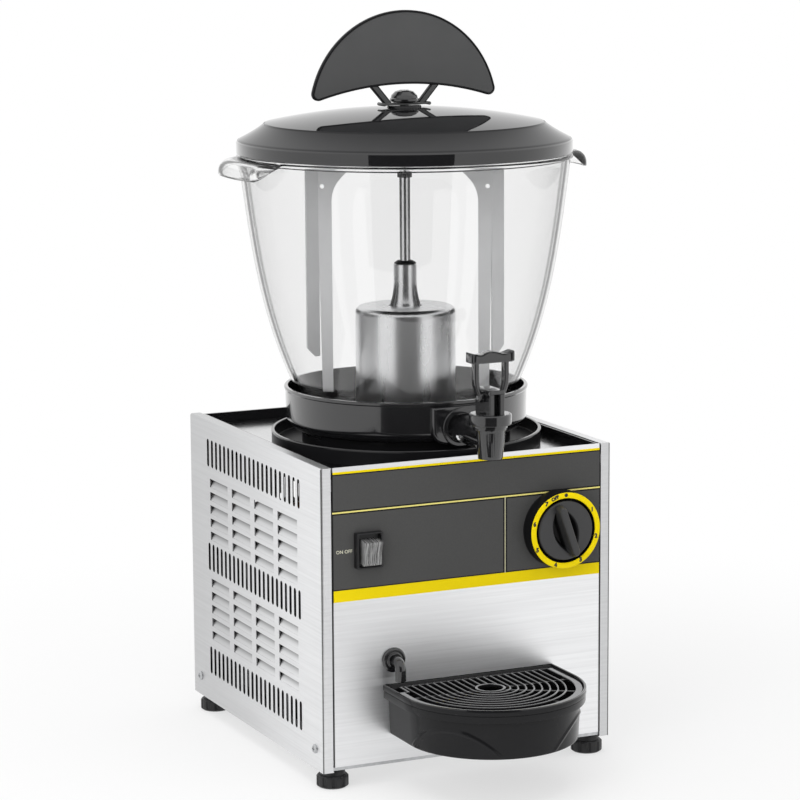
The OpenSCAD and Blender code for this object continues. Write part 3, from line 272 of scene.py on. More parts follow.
def gloss_black(name, rough=0.16, grain=0.00003, mirror=0.04, shine=0.5, coat=None):
    """Glossy moulded plastic: faint ripple of the mould and fine wiping marks in the gloss."""
    colour = colours().black
    f = Finish(name, {"IOR": 1.5, "Specular IOR Level": shine, "Coat Weight": 1.0, "Coat Roughness": mirror,
                      "Coat IOR": 1.5})
    if coat:
        f.vary("Coat Weight", coat(f))
    ripple = f.noise(45.0, 1.0)
    wipe = f.noise((30.0, 420.0, 180.0), 3.0, 0.65, 2.0)
    return f.surface(f.mottle(ripple, colour, 0.85, 1.15),
                     rough + wipe.ramp(0.45, 0.8) * 0.08, ripple, grain, 0.5)


def satin_plastic(name, colour, rough=0.42, grain=1400.0, shine=0.5):
    """Moulded plastic with the fine grain of an etched mould."""
    f = Finish(name, {"IOR": 1.48, "Specular IOR Level": shine})
    pit = f.noise(grain, 2.0)
    cloud = f.noise(35.0, 2.0, 0.5, 4.0)
    return f.surface(f.mottle(cloud, colour, 0.88, 1.12),
                     rough - 0.06 + pit * 0.1 + cloud * 0.04, pit, 0.00006, 0.35)


def ribbed_lens(name):
    """Smoked lens of the switch, streaked by the ribs behind its face."""
    lens = colours().lens
    f = Finish(name, {"IOR": 1.5, "Coat Weight": 1.0, "Coat Roughness": 0.05, "Coat IOR": 1.5})
    streak = f.noise((900.0, 20.0, 45.0), 3.0, 0.6)
    return f.surface(f.mottle(streak.ramp(0.32, 0.66), lens, 0.25, 2.2),
                     0.2 + streak * 0.15, streak, 0.0001, 0.4)


def knob_grey(name):
    """Dark grey moulding of the temperature knob, with painted shade that darkens it in its scoops and round its
    edge.
    """
    knob = colours().knob
    f = Finish(name, {"IOR": 1.48})
    pit = f.noise(1400.0, 2.0)
    # Painted shade: surfaces lying deeper than the face, in the scoops and round the edge, get a much darker
    # colour.
    deep = f.axis("Y").ramp((FRONT_Y - 14.6) * MM, (FRONT_Y - 12.0) * MM)
    colour = f.mottle(pit, knob, 0.9, 1.1)
    return f.surface(f.mix(deep, colour, rgba(knob, 0.15)), 0.3 + pit * 0.1 + deep * 0.2, pit, 0.00006, 0.35)


def bare_metal(name, colour, rough, grain, metallic=1.0):
    """Plated, cast or drawn metal with mottled tone."""
    f = Finish(name, {"Metallic": metallic})
    speck = f.noise(grain, 3.0, 0.6)
    cloud = f.noise(28.0, 2.0, 0.5, 6.0)
    return f.surface(f.mottle((speck * 0.5 + cloud * 0.5).ramp(0.3, 0.7), colour, 0.8, 1.12),
                     rough - 0.08 + speck * 0.16, speck, 0.00004, 0.4)


def clear_plastic(name):
    """Clear bowl plastic, grey in its depth, with faint wiping marks and painted dark lines where it is seen
    edge-on.
    """
    f = Finish(name, {"Transmission Weight": 1.0, "IOR": 1.46})
    slant = f.node("ShaderNodeLayerWeight", None, {"Blend": 0.5}, "Facing")
    # Painted shade: the colour turns near black where the surface is seen edge-on, drawing dark lines along the
    # bowl's silhouette.
    edge = slant.ramp(0.88, 0.92) * 0.8 + slant.ramp(0.72, 0.76) * (1.0 - slant.ramp(0.80, 0.84))
    f.vary("Base Color", f.mix(edge.clamped(), (0.995, 0.995, 0.995, 1.0), (0.02, 0.02, 0.02, 1.0)))
    haze = f.noise((60.0, 60.0, 25.0), 3.0, 0.6)
    f.vary("Roughness", haze.ramp(0.55, 0.9) * 0.03)
    depth = f.node("ShaderNodeVolumeAbsorption", None, {"Color": (0.2, 0.2, 0.2, 1.0), "Density": 15.0})
    f.feed(f.output.inputs["Volume"], depth)
    return f.material


def label_film(name):
    """Printed film: dark grey ground, thin pale rules with dark outlines, and a yellow foot band, with painted
    shade along its side edges.
    """
    sizes = bpy.context.scene.dispenser_sizes
    f = Finish(name, {"IOR": 1.47, "Specular IOR Level": 0.12})
    low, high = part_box("control_label")
    x, z = f.axis("X"), f.axis("Z")
    rule = sizes.rule / 2
    divider, column, top = low.z + 0.0782, 0.0353, high.z - 0.0018
    lower = (z < divider) * (z > low.z + sizes.label_band)
    yellow = ((z > top) + (z < low.z + sizes.label_band)).clamped()
    across = f.band(z, divider, rule)
    upright = f.band(x, column, rule * 0.65) * lower
    outline = rule * 3.0
    dark = (f.band(z, divider, outline) + f.band(x, column, outline) * lower
            + f.band(z, low.z + sizes.label_band, rule * 1.6) + f.band(z, top, rule * 1.6)).clamped()
    speck = f.noise(900.0, 2.0)
    ink = f.mottle(speck, colours().yellow, 0.96, 1.04)
    colour = f.mottle(speck, colours().label, 0.9, 1.1)
    colour = f.mix(dark, colour, rgba(colours().label, 0.2))
    colour = f.mix(yellow, colour, ink)
    # Painted shade: a dark line along the label's side edges, where it meets the flanges.
    colour = f.mix(abs(x) > high.x - 0.0006, colour, rgba(colours().label, 0.1))
    colour = f.mix(across, colour, (0.95, 0.84, 0.26, 1.0))
    return f.surface(f.mix(upright, colour, (0.66, 0.63, 0.42, 1.0)),
                     0.36 + speck * 0.08 - yellow * 0.06, yellow, 0.00004, 0.4)


def dial_print(name):
    """Black ring of the dial with its yellow printed face."""
    f = Finish(name, {"IOR": 1.48, "Specular IOR Level": 0.12})
    y = f.axis("Y")
    face = y < (FRONT_Y - 14.3) * MM
    speck = f.noise(1200.0, 2.0)
    black = f.mottle(speck, colours().black, 0.6, 0.9)
    ink = f.mottle(speck, colours().yellow, 1.0, 1.06)
    return f.surface(f.mix(face, black, ink), 0.32 + speck * 0.08, speck, 0.00003, 0.3)


def fin_metal(name):
    """Thin aluminium fins with painted shade in the gaps between them."""
    f = Finish(name, {"IOR": 1.45})
    y = f.axis("Y")
    # Painted shade: near black stripes stand for the shaded gaps between the fins.
    gap = (y * 420.0).math("FRACT").ramp(0.35, 0.6)
    cloud = f.noise(40.0, 2.0)
    f.vary("Metallic", gap)
    colour = f.mix(gap, (0.05, 0.05, 0.05, 1.0), (0.6, 0.61, 0.62, 1.0))
    return f.surface(colour, 0.35 + cloud * 0.15, gap, 0.0006, 0.8)


def above(height):
    return lambda f: f.axis("Z") > height


def below(height):
    return lambda f: f.axis("Z") < height


def finishes():
    """Slot, maker and settings of every finish, by its plain name."""
    black, sign = colours().black, colours().sign
    return {
        "front_steel": ("stainless", brushed_steel, (9.0, 60.0, 520.0), 0.90, 0.36, front_painted_shade),
        "side_steel": ("stainless", brushed_steel, (60.0, 9.0, 520.0), 0.83, 0.36, side_painted_shade),
        "well_steel": ("polished_steel", bright_steel, 0.14, 0.60, (40.0, 900.0, 40.0)),
        "cylinder_steel": ("polished_steel", bright_steel, 0.27, 0.78, (70.0, 70.0, 8.0), 1.0, 0.05),
        "stirrer_steel": ("polished_steel", bright_steel, 0.5, 0.77, (80.0, 80.0, 12.0), 0.18),
        "pin_steel": ("polished_steel", bright_steel, 0.22, 0.74, (60.0, 60.0, 900.0), 1.0, 0.1),
        "gloss_black": ("gloss_black", gloss_black),
        "tray_black": ("gloss_black", gloss_black, 0.16, 0.00002, 0.04, 0.2, above(0.0881)),
        "lid_black": ("gloss_black", gloss_black, 0.03, 0.00001, 0.02, 0.33, below((RIM_Z + 11.4) * MM)),
        "saucer_black": ("gloss_black", gloss_black, 0.3, 0.00002, 0.04, 0.05, above(0.2872)),
        "shade_black": ("gloss_black", satin_plastic, black, 0.34, 1400.0, 0.12),
        "hub_grey": ("satin_black", satin_plastic, (0.075, 0.075, 0.076), 0.4),
        "satin_black": ("satin_black", satin_plastic, black),
        "knob_grey": ("satin_black", knob_grey),
        "sign_grey": ("sign_grey", satin_plastic, sign, 0.34),
        "lens_grey": ("smoked_lens", ribbed_lens),
        "clear": ("clear_plastic", clear_plastic),
        "label": ("label_film", label_film),
        "dial": ("dial_yellow", dial_print),
        "rubber": ("black_rubber", satin_plastic, (0.02, 0.02, 0.02), 0.7, 700.0),
        "hose": ("grey_hose", satin_plastic, (0.42, 0.42, 0.40), 0.5),
        "white": ("white_plastic", satin_plastic, (0.72, 0.72, 0.69), 0.4),
        "print_pale": ("label_film", satin_plastic, (0.80, 0.79, 0.62), 0.4),
        "print_black": ("satin_black", satin_plastic, (0.012, 0.012, 0.012), 0.4),
        "zinc": ("zinc", bare_metal, (0.56, 0.57, 0.58), 0.36, 300.0),
        "copper": ("copper", bare_metal, (0.72, 0.36, 0.2), 0.3, 160.0),
        "black_paint": ("black_steel", bare_metal, (0.02, 0.02, 0.022), 0.4, 500.0, 0.0),
        "grey_paint": ("grey_casting", bare_metal, (0.16, 0.165, 0.17), 0.45, 420.0, 0.0),
        "fins": ("finned_aluminium", fin_metal),
    }


FINISH = {}


def finish(name):
    """Slot and material of a finish, made when it is first asked for."""
    if name not in FINISH:
        slot, make, *settings = finishes()[name]
        FINISH[name] = slot, make(name, *settings)
    return FINISH[name]


# Shapes


def loft(rings, wrap=False):
    """Skins closed rings of equally many points, one after another, with its faces outward."""
    bm = bmesh.new()
    rows = [[bm.verts.new(p) for p in ring] for ring in rings]
    for low, high in zip(rows, rows[1:] + (rows[:1] if wrap else [])):
        for i, corner in enumerate(low):
            j = (i + 1) % len(low)
            bm.faces.new((corner, low[j], high[j], high[i]))
    if not wrap:
        bm.faces.new(rows[0][::-1])
        bm.faces.new(rows[-1])
    bm.normal_update()
    if bm.calc_volume(signed=True) < 0:
        bmesh.ops.reverse_faces(bm, faces=bm.faces)
    return bm


def join(*meshes):
    """Several bmeshes as one."""
    whole = bmesh.new()
    for bm in meshes:
        part = bpy.data.meshes.new("part")
        bm.to_mesh(part)
        bm.free()
        whole.from_mesh(part)
        bpy.data.meshes.remove(part)
    return whole


def tidy(bm):
    bmesh.ops.remove_doubles(bm, verts=bm.verts, dist=1e-4)
    bmesh.ops.dissolve_degenerate(bm, edges=bm.edges, dist=1e-5)
    return bm


def swept_round(profile, segments, place):
    """A closed outline turned in a circle. place gives a point for its radius, height, cosine and sine."""
    rings = []
    for k in range(segments):
        c, s = math.cos(math.tau * k / segments), math.sin(math.tau * k / segments)
        rings.append([place(r, h, c, s) for r, h in profile])
    return tidy(loft(rings, wrap=True))


def turned(profile, centre=AXIS, segments=128):
    """A closed outline of radius and height turned about an upright line."""
    return swept_round(profile, segments, lambda r, z, c, s: (centre[0] + r * c, centre[1] + r * s, z))


def turned_forward(profile, centre, segments=96):
    """A closed outline of radius and depth turned about a level line that points to the front."""
    x, y, z = centre
    return swept_round(profile, segments, lambda r, h, c, s: (x + r * c, y - h, z + r * s))


def bezier(points, t):
    """Point of the curve that control points pull on."""
    while len(points) > 1:
        points = [[a * (1 - t) + b * t for a, b in zip(p, q)] for p, q in zip(points, points[1:])]
    return tuple(points[0])


def fillet(points, radii, steps=4):
    """Rounds the corners of a closed outline. radii is one radius, or one for each corner."""
    out = []
    for i, corner in enumerate(points):
        r = radii[i] if isinstance(radii, (list, tuple)) else radii
        here = Vector(corner)
        back = Vector(points[i - 1]) - here
        ahead = Vector(points[(i + 1) % len(points)]) - here
        if r <= 0 or back.length < 1e-6 or ahead.length < 1e-6:
            out.append(tuple(here))
            continue
        turn = back.angle(ahead)
        cut = min(r / max(math.tan(turn / 2), 0.05), back.length * 0.48, ahead.length * 0.48)
        start, end = here + back.normalized() * cut, here + ahead.normalized() * cut
        for k in range(steps + 1):
            t = k / steps
            out.append(tuple(start * (1 - t) ** 2 + here * (2 * t * (1 - t)) + end * t * t))
    return out


def rounded(x0, y0, x1, y1, radii, steps=4):
    """A rectangle between two corners, with its corners rounded."""
    return fillet([(x0, y0), (x1, y0), (x1, y1), (x0, y1)], radii, steps)


def smooth(t):
    t = max(0.0, min(1.0, t))
    return t * t * (3 - 2 * t)


def arc(centre, radius, start, end, steps):
    """Points of an arc, angles in degrees."""
    turns = [math.radians(start + (end - start) * k / steps) for k in range(steps + 1)]
    return [(centre[0] + radius * math.cos(a), centre[1] + radius * math.sin(a)) for a in turns]


def stadium(half_length, half_width, steps=8):
    """Outline of a bar with round ends along v."""
    v = half_length - half_width
    top = arc((0.0, v), half_width, 0, 180, steps)
    return top + [(-x, -y) for x, y in top]


def rail(path, half, low, high, edge=0.5):
    """A bar with softened upper edges along a level path of x and y."""
    section = ((-half, low), (half, low), (half, high - edge), (half - edge, high), (edge - half, high),
               (-half, high - edge))
    rings = []
    for i, (x, y) in enumerate(path):
        along = Vector(path[min(i + 1, len(path) - 1)]) - Vector(path[max(i - 1, 0)])
        along.normalize()
        rings.append([(x - along.y * s, y + along.x * s, z) for s, z in section])
    return loft(rings)


def piece(name, bm, finish_name, body, nodes=(), crease=35.0, bevel=0.0):
    """Turns a bmesh in millimetres into a dressed object that rides on a body."""
    mesh = bpy.data.meshes.new(name)
    bm.to_mesh(mesh)
    bm.free()
    mesh.transform(Matrix.Scale(MM, 4))
    mesh.shade_smooth()
    mesh.set_sharp_from_angle(angle=math.radians(crease))
    slot, material = finish(finish_name)
    mesh.materials.append(material)
    obj = linked(name, mesh)
    if bevel:
        round_edges(obj, bevel, crease)
    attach(obj, body)
    if nodes:
        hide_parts(*nodes)
    return obj


def round_edges(obj, width, crease=35.0):
    cut = obj.modifiers.new("edge_round", "BEVEL")
    cut.width = width * MM
    cut.segments = 2
    cut.limit_method = "ANGLE"
    cut.angle_limit = math.radians(crease)
    cut.harden_normals = True
    cut.use_clamp_overlap = True


def dress(finish_name, *nodes, edge=0.0):
    """Gives parts of the frame their finish, and rounds their edges where edge is given."""
    for node in nodes:
        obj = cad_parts[node]
        obj.data.materials.clear()
        obj.data.materials.append(finish(finish_name)[1])
        if edge:
            weld = obj.modifiers.new("weld", "WELD")
            weld.merge_threshold = 1e-6
            flat = obj.modifiers.new("flats", "DECIMATE")
            flat.decimate_type = "DISSOLVE"
            flat.angle_limit = math.radians(0.6)
            round_edges(obj, edge)


def lettering(name, marks, finish_name, body, thickness=0.12, weight=0.0):
    """Small generic marks as flat letters that face the front. A mark is text, x, y, z, height and tilt."""
    whole = bmesh.new()
    for text, x, y, z, height, tilt in marks:
        curve = bpy.data.curves.new("mark", "FONT")
        curve.body = text
        curve.align_x = "CENTER"
        curve.align_y = "CENTER"
        curve.size = height * 1.4
        curve.extrude = thickness / 2
        curve.offset = weight * height
        curve.resolution_u = 4
        letter = linked("mark", curve)
        bpy.context.view_layer.update()
        flat = bpy.data.meshes.new_from_object(letter.evaluated_get(bpy.context.evaluated_depsgraph_get()))
        turn = Matrix.Rotation(math.radians(90), 4, "X") @ Matrix.Rotation(math.radians(tilt), 4, "Z")
        flat.transform(Matrix.Translation((x, y, z)) @ turn)
        whole.from_mesh(flat)
        bpy.data.objects.remove(letter)
        bpy.data.curves.remove(curve)
        bpy.data.meshes.remove(flat)
    tidy(whole)
    bmesh.ops.recalc_face_normals(whole, faces=whole.faces)
    return piece(name, whole, finish_name, body)


# Settings


def number(name, description, default, **kind):
    return bpy.props.FloatProperty(name=name, description=description, default=default, **kind)


def tint(name, description, default):
    return bpy.props.FloatVectorProperty(
        name=name, description=description, subtype="COLOR", default=default)


class DispenserColours(bpy.types.PropertyGroup):
    """Colours of the dispenser's finishes."""

    steel: tint("Steel", "Tint of the stainless parts", (0.985, 0.99, 1.0))
    black: tint("Black plastic", "Glossy and satin black mouldings", (0.011, 0.011, 0.012))
    label: tint("Label", "Ground of the printed label", (0.082, 0.082, 0.081))
    yellow: tint("Yellow", "Yellow print on the label and the dial", (0.98, 0.76, 0.0))
    sign: tint("Sign", "Grey sign on the lid", (0.072, 0.073, 0.074))
    lens: tint("Lens", "Smoked rocker of the switch", (0.16, 0.16, 0.16))
    knob: tint("Knob", "Dark grey temperature knob", (0.036, 0.036, 0.037))


class DispenserSizes(bpy.types.PropertyGroup):
    """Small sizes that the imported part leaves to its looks."""

    rule: number("Label rule", "Width of the label's thin lines", 0.0013, unit="LENGTH")
    label_band: number("Label band", "Height of the yellow band at the label's foot", 0.0101, unit="LENGTH")
    rib: number("Rocker rib", "Height of the ribs on the switch's rocker", 0.0004, unit="LENGTH")


class DispenserStage(bpy.types.PropertyGroup):
    """Camera and light of the studio."""

    lens: number("Lens", "Focal length on a 36 mm sensor", 137.05, subtype="DISTANCE_CAMERA")
    fill: number("Fill", "Light of the white surroundings on matt surfaces", 0.62)
    overhead: number("Overhead", "Power of the soft lamp above", 26.0, subtype="POWER")
    side: number("Side", "Power of the soft lamp beside the camera", 14.0, subtype="POWER")
    floor: tint("Floor", "Pale floor", (0.9, 0.9, 0.9))


# Operators


class DispenserOperator:
    """What the operators share."""

    bl_options = {"REGISTER", "UNDO"}


class DISPENSER_OT_stage(DispenserOperator, bpy.types.Operator):
    """Makes the camera, the white surroundings, the lamps, the floor and the dark cards"""

    bl_idname = "dispenser.stage"
    bl_label = "Stage"

    def execute(self, context):
        stage = context.scene.dispenser_stage
        context.scene.view_settings.view_transform = "Standard"
        self.camera(context, stage)
        self.surroundings(context, stage)
        self.lamp("overhead_lamp", (-0.3, -0.2, 2.3), (0, 0.03, 0.3), 2.2, stage.overhead)
        self.lamp("side_lamp", (-2.0, -1.5, 1.3), (0, 0.03, 0.3), 1.4, stage.side)
        self.floor(stage)
        self.cards()
        return {"FINISHED"}

    def camera(self, context, stage):
        yaw, pitch, roll = 0.4317, 0.1697, -0.0061
        data = bpy.data.cameras.new("photo_camera")
        data.lens = stage.lens
        data.sensor_width = 36.0
        data.clip_end = 200.0
        camera = linked("photo_camera", data)
        turn = Matrix.Rotation(-yaw, 4, "Z") @ Matrix.Rotation(math.pi / 2 - pitch, 4, "X")
        place = Matrix.Translation((-1.1392, -2.4231, 0.7778))
        camera.matrix_world = place @ turn @ Matrix.Rotation(roll, 4, "Z")
        context.scene.camera = camera

    def surroundings(self, context, stage):
        world = bpy.data.worlds.new("white_studio")
        world.use_nodes = True
        context.scene.world = world
        g = Graph(world.node_tree)
        strength = stage.fill + (1.0 - stage.fill) * g.seen_plainly()
        light = g.node("ShaderNodeBackground", None, {"Color": WHITE, "Strength": strength})
        g.add("ShaderNodeOutputWorld", None, {"Surface": light})

    def lamp(self, name, at, aim, size, power):
        data = bpy.data.lights.new(name, "AREA")
        data.shape = "DISK"
        data.size = size
        data.energy = power
        lamp = linked(name, data)
        lamp.location = at
        lamp.rotation_mode = "QUATERNION"
        lamp.rotation_quaternion = (Vector(aim) - Vector(at)).to_track_quat("-Z", "Y")
        lamp.visible_glossy = False
        lamp.visible_transmission = False

    def floor(self, stage):
        """A pale floor that keeps its shadow near the part and is white farther off."""

        def shade(g):
            place = g.node("ShaderNodeTexCoord", output="Object")
            reach = g.node("ShaderNodeVectorMath", {"operation": "LENGTH"}, {0: place}, "Value")
            grain = g.node("ShaderNodeTexNoise", None, {"Vector": place, "Scale": 900.0})
            matt = g.node("ShaderNodeBsdfDiffuse", None, {"Color": rgba(stage.floor), "Roughness": grain * 0.2})
            white = g.node("ShaderNodeEmission", None, {"Color": WHITE, "Strength": 1.0})
            share = g.seen_plainly() * (0.62 + 0.38 * reach.ramp(0.35, 0.9))
            return g.node("ShaderNodeMixShader", None, {0: share, 1: matt, 2: white})

        half = 60.0
        corners = [(-half, -half, 0), (half, -half, 0), (half, half, 0), (-half, half, 0)]
        self.sheet("studio_floor", corners, [(0, 1, 2, 3)], shade)

    def sheet(self, name, corners, faces, shade):
        """A flat sheet of the studio. shade builds its shader."""
        mesh = bpy.data.meshes.new(name)
        mesh.from_pydata(corners, [], faces)
        material = new_material(name)
        g = Graph(material.node_tree)
        g.add("ShaderNodeOutputMaterial", None, {"Surface": shade(g)})
        mesh.materials.append(material)
        sheet = linked(name, mesh)
        return sheet

    def cards(self):
        """Dark cards that show in reflections only: one in front, one each side for the steel in the bowl."""
        toward = Vector((-0.420, -0.907, 0.0))
        right = Vector((0.908, -0.418, 0.0))
        up = Vector((0.0, 0.0, 1.0))
        near, far, height = 0.75, 1.5, 0.9
        middle = Vector((0, AXIS[1] * MM, 0.003))
        corners = []
        for degrees, side in ((23.0, -1.0), (32.0, 1.0)):
            a = math.radians(degrees)
            out = toward * math.cos(a) + right * side * math.sin(a)
            corners += [middle + out * near, middle + out * far, middle + out * far + up * height]
        self.card("front_card", corners, [(0, 1, 4, 3), (1, 2, 5, 4)], 0.03)
        reach, low, high, ahead, behind = 1.3, 0.2, 1.1, 0.6, -3.4
        for name, side in (("left_card", -1.0), ("right_card", 1.0)):
            corners = [middle + right * side * reach + toward * depth + up * z
                       for depth, z in ((ahead, low), (behind, low), (behind, high), (ahead, high))]
            edge = self.card(name, corners, [(0, 1, 2, 3)], 0.05)
            edge.visible_glossy = False

    def card(self, name, corners, faces, strength):

        def shade(g):
            mirrored = g.node("ShaderNodeLightPath", output="Glossy Depth") > 0.5
            light = 1.0 - mirrored * (1.0 - strength)
            return g.node("ShaderNodeEmission", None, {"Color": WHITE, "Strength": light})

        card = self.sheet(name, corners, faces, shade)
        card.visible_camera = False
        card.visible_diffuse = False
        card.visible_shadow = False
        return card


class DISPENSER_OT_cabinet(DispenserOperator, bpy.types.Operator):
    """Dresses the panels, the top and the base of the cabinet"""

    bl_idname = "dispenser.cabinet"
    bl_label = "Cabinet"

    def execute(self, context):
        dress("front_steel", "front_panel", "rear_panel")
        dress("side_steel", "left_side_panel", "right_side_panel")
        dress("well_steel", "top_plate")
        dress("gloss_black", "top_trim")
        dress("zinc", "base_pan", "panel_screws")
        return {"FINISHED"}


class DISPENSER_OT_front_label(DispenserOperator, bpy.types.Operator):
    """Dresses the printed label and adds the words of the switch"""

    bl_idname = "dispenser.front_label"
    bl_label = "Front label"

    def execute(self, context):
        dress("label", "control_label")
        low, high = node_box("switch_housing")
        z = (low.z + high.z) / 2
        lettering("switch_words", [("ON", low.x - 13.2, FRONT_Y - 0.04, z, 3.0, 0.0),
                                   ("OFF", low.x - 4.9, FRONT_Y - 0.04, z, 3.0, 0.0)], "print_pale", "cabinet")
        return {"FINISHED"}


class DISPENSER_OT_controls(DispenserOperator, bpy.types.Operator):
    """Makes the rocker switch and the temperature dial"""

    bl_idname = "dispenser.controls"
    bl_label = "Controls"

    def execute(self, context):
        self.housing()
        self.rocker(context.scene.dispenser_sizes.rib / MM)
        low, high = node_box("dial_ring")
        centre = ((low.x + high.x) / 2, FRONT_Y, (low.z + high.z) / 2)
        self.ring(centre)
        self.knob(centre)
        return {"FINISHED"}

    def housing(self):
        """A deep frame round the rocker."""
        low, high = node_box("switch_housing")
        x0, z0 = (low.x + high.x) / 2, (low.z + high.z) / 2 + 0.3
        steps = ((12.7, 15.5, 0.0), (12.7, 15.5, 5.2), (12.6, 15.4, 5.7), (12.1, 14.95, 6.0), (10.7, 14.55, 6.0),
                 (10.4, 14.3, 5.7), (10.3, 14.2, 5.2), (10.3, 14.2, 1.0))
        rings = [[(x0 + x, FRONT_Y - depth, z0 + z)
                  for x, z in rounded(-w, -h, w, h, 1.2)] for w, h, depth in steps]
        piece("switch_frame", loft(rings), "satin_black", "cabinet", ("switch_housing",), 40.0)

    def rocker(self, rib):
        """A rocking lens with upright ribs, tilted as the switch rests."""
        rest, half, face, width = math.radians(10.0), 10.6, 15.4, 16.8
        low, high = node_box("switch_rocker")
        x0 = (low.x + high.x) / 2 + 1.2
        axis_y, axis_z = -85.5, 210.9
        columns, ribs = 72, 9
        rings = []
        for i in range(columns + 1):
            u = i / columns
            edge = min(u, 1 - u) * width
            wave = (0.5 - 0.5 * math.cos(math.tau * ribs * u)) * rib * smooth(edge / 1.2)
            ring = []
            for k in range(17):
                v = half * (1 - k / 8)
                y = -(face + abs(v) * math.tan(rest)) + rib - wave
                ring.append((y + 0.6 * (1 - smooth((half - abs(v)) / 0.9)), v))
            ring += [(-4.0, -half), (5.0, -4.0), (5.0, 4.0), (-4.0, half)]
            c, s = math.cos(rest), math.sin(rest)
            x = x0 + (u - 0.5) * width
            rings.append([(x, axis_y + y * c - z * s, axis_z + y * s + z * c) for y, z in ring])
        piece("rocker_lens", loft(rings), "lens_grey", "rocker", ("switch_rocker",), 50.0)

    def ring(self, centre):
        profile = fillet([(0, 0), (34.6, 0), (34.6, 3), (34, 15), (29.2, 15), (28.8, 14), (28.8, 2.5), (0, 2.5)],
                         [0, 0.2, 0.3, 0.9, 0.5, 0.4, 0.3, 0])
        piece("dial_wall", turned_forward(profile, centre, 128), "dial", "cabinet", ("dial_ring",))
        marks = [("OFF", -20.0, 31.6, 3.1, 20.0), ("•", 0.0, 31.4, 6.2, 0.0)]
        places = ((57.0, 30.8), (104.0, 30.7), (152.0, 31.0), (199.0, 31.6), (242.0, 31.9), (285.0, 32.0),
                  (323.0, 31.8))
        marks += [(str(n + 1), a, r, 3.7, 0.0) for n, (a, r) in enumerate(places)]
        y = centre[1] - 15.02
        lettering("dial_marks", [(text, centre[0] + r * math.sin(math.radians(a)), y,
                                  centre[2] + r * math.cos(math.radians(a)), size, tilt)
                                 for text, a, r, size, tilt in marks], "print_black", "cabinet", 0.1, 0.1)

    def knob(self, centre):
        """A disc with two scoops and a grip bar between them."""
        turn = math.radians(19.0)
        x0, y0, z0 = centre

        def at(u, v, depth):
            return (x0 + u * math.cos(turn) - v * math.sin(turn), y0 - depth,
                    z0 + u * math.sin(turn) + v * math.cos(turn))

        def circle(r):
            return arc((0.0, 0.0), r, 0, 360, 180)[:-1]

        face, scoop, scoop_slope, face_r, rows = 15.0, 8.5, 4.2, 25.6, 52
        outer = ((25.4, 4.0), (26.1, 4.3), (26.4, 5.0), (26.6, 13.6), (26.3, 14.5), (face_r, face))
        rings = [[at(u, v, depth) for u, v in circle(r)] for r, depth in outer]
        for step in range(1, rows):
            ring = []
            for u, v in circle(face_r * (1 - step / rows)):
                reach = 12.4 * (1 - (v / 24.0) ** 2)
                ring.append(at(u, v, face - scoop * smooth((reach - abs(u)) / scoop_slope)))
            rings.append(ring)
        disc = loft(rings)
        grip = loft([[at(u, v, depth) for u, v in stadium(length, width)]
                     for length, width, depth in ((25.2, 4.6, 6.0), (25.2, 4.4, 12.8), (24.6, 4.0, 18.0),
                                                  (23.6, 3.7, 22.0), (22.9, 3.3, 23.3), (22.0, 2.6, 23.9),
                                                  (21.2, 1.8, 24.0))])
        piece("temperature_knob", join(disc, grip), "knob_grey", "knob", ("thermostat_knob",), 40.0)


class DISPENSER_OT_cooling(DispenserOperator, bpy.types.Operator):
    """Dresses the cooling set, the drive and the wiring inside the cabinet"""

    bl_idname = "dispenser.cooling"
    bl_label = "Cooling set"

    def execute(self, context):
        dress("black_paint", "compressor")
        dress("rubber", "compressor_mounts")
        dress("gloss_black", "drain_elbow", "drain_grommet", edge=0.5)
        dress("fins", "condenser")
        dress("satin_black", "fan_shroud", "fan_motor", "cable_gland")
        dress("zinc", "fan_strap", "motor_bracket")
        dress("white", "fan_blades", "terminal_block")
        dress("copper", "filter_drier", "refrigerant_pipes", "evaporator_coil")
        dress("grey_paint", "gear_motor", "thermostat_body")
        dress("hose", "drain_hose")
        return {"FINISHED"}


class DISPENSER_OT_feet(DispenserOperator, bpy.types.Operator):
    """Dresses the four lobed feet"""

    bl_idname = "dispenser.feet"
    bl_label = "Feet"

    def execute(self, context):
        dress("satin_black", "foot_front_left", "foot_front_right", "foot_rear_left", "foot_rear_right", edge=0.6)
        return {"FINISHED"}


def wall_radius(z):
    """Outer radius of the bowl's wall at a height."""
    radii = ((87.5,), (131.5,), (138.6,), (148.8,))
    return bezier(radii, (z - BOWL_FOOT_Z) / (RIM_Z - BOWL_FOOT_Z))[0]


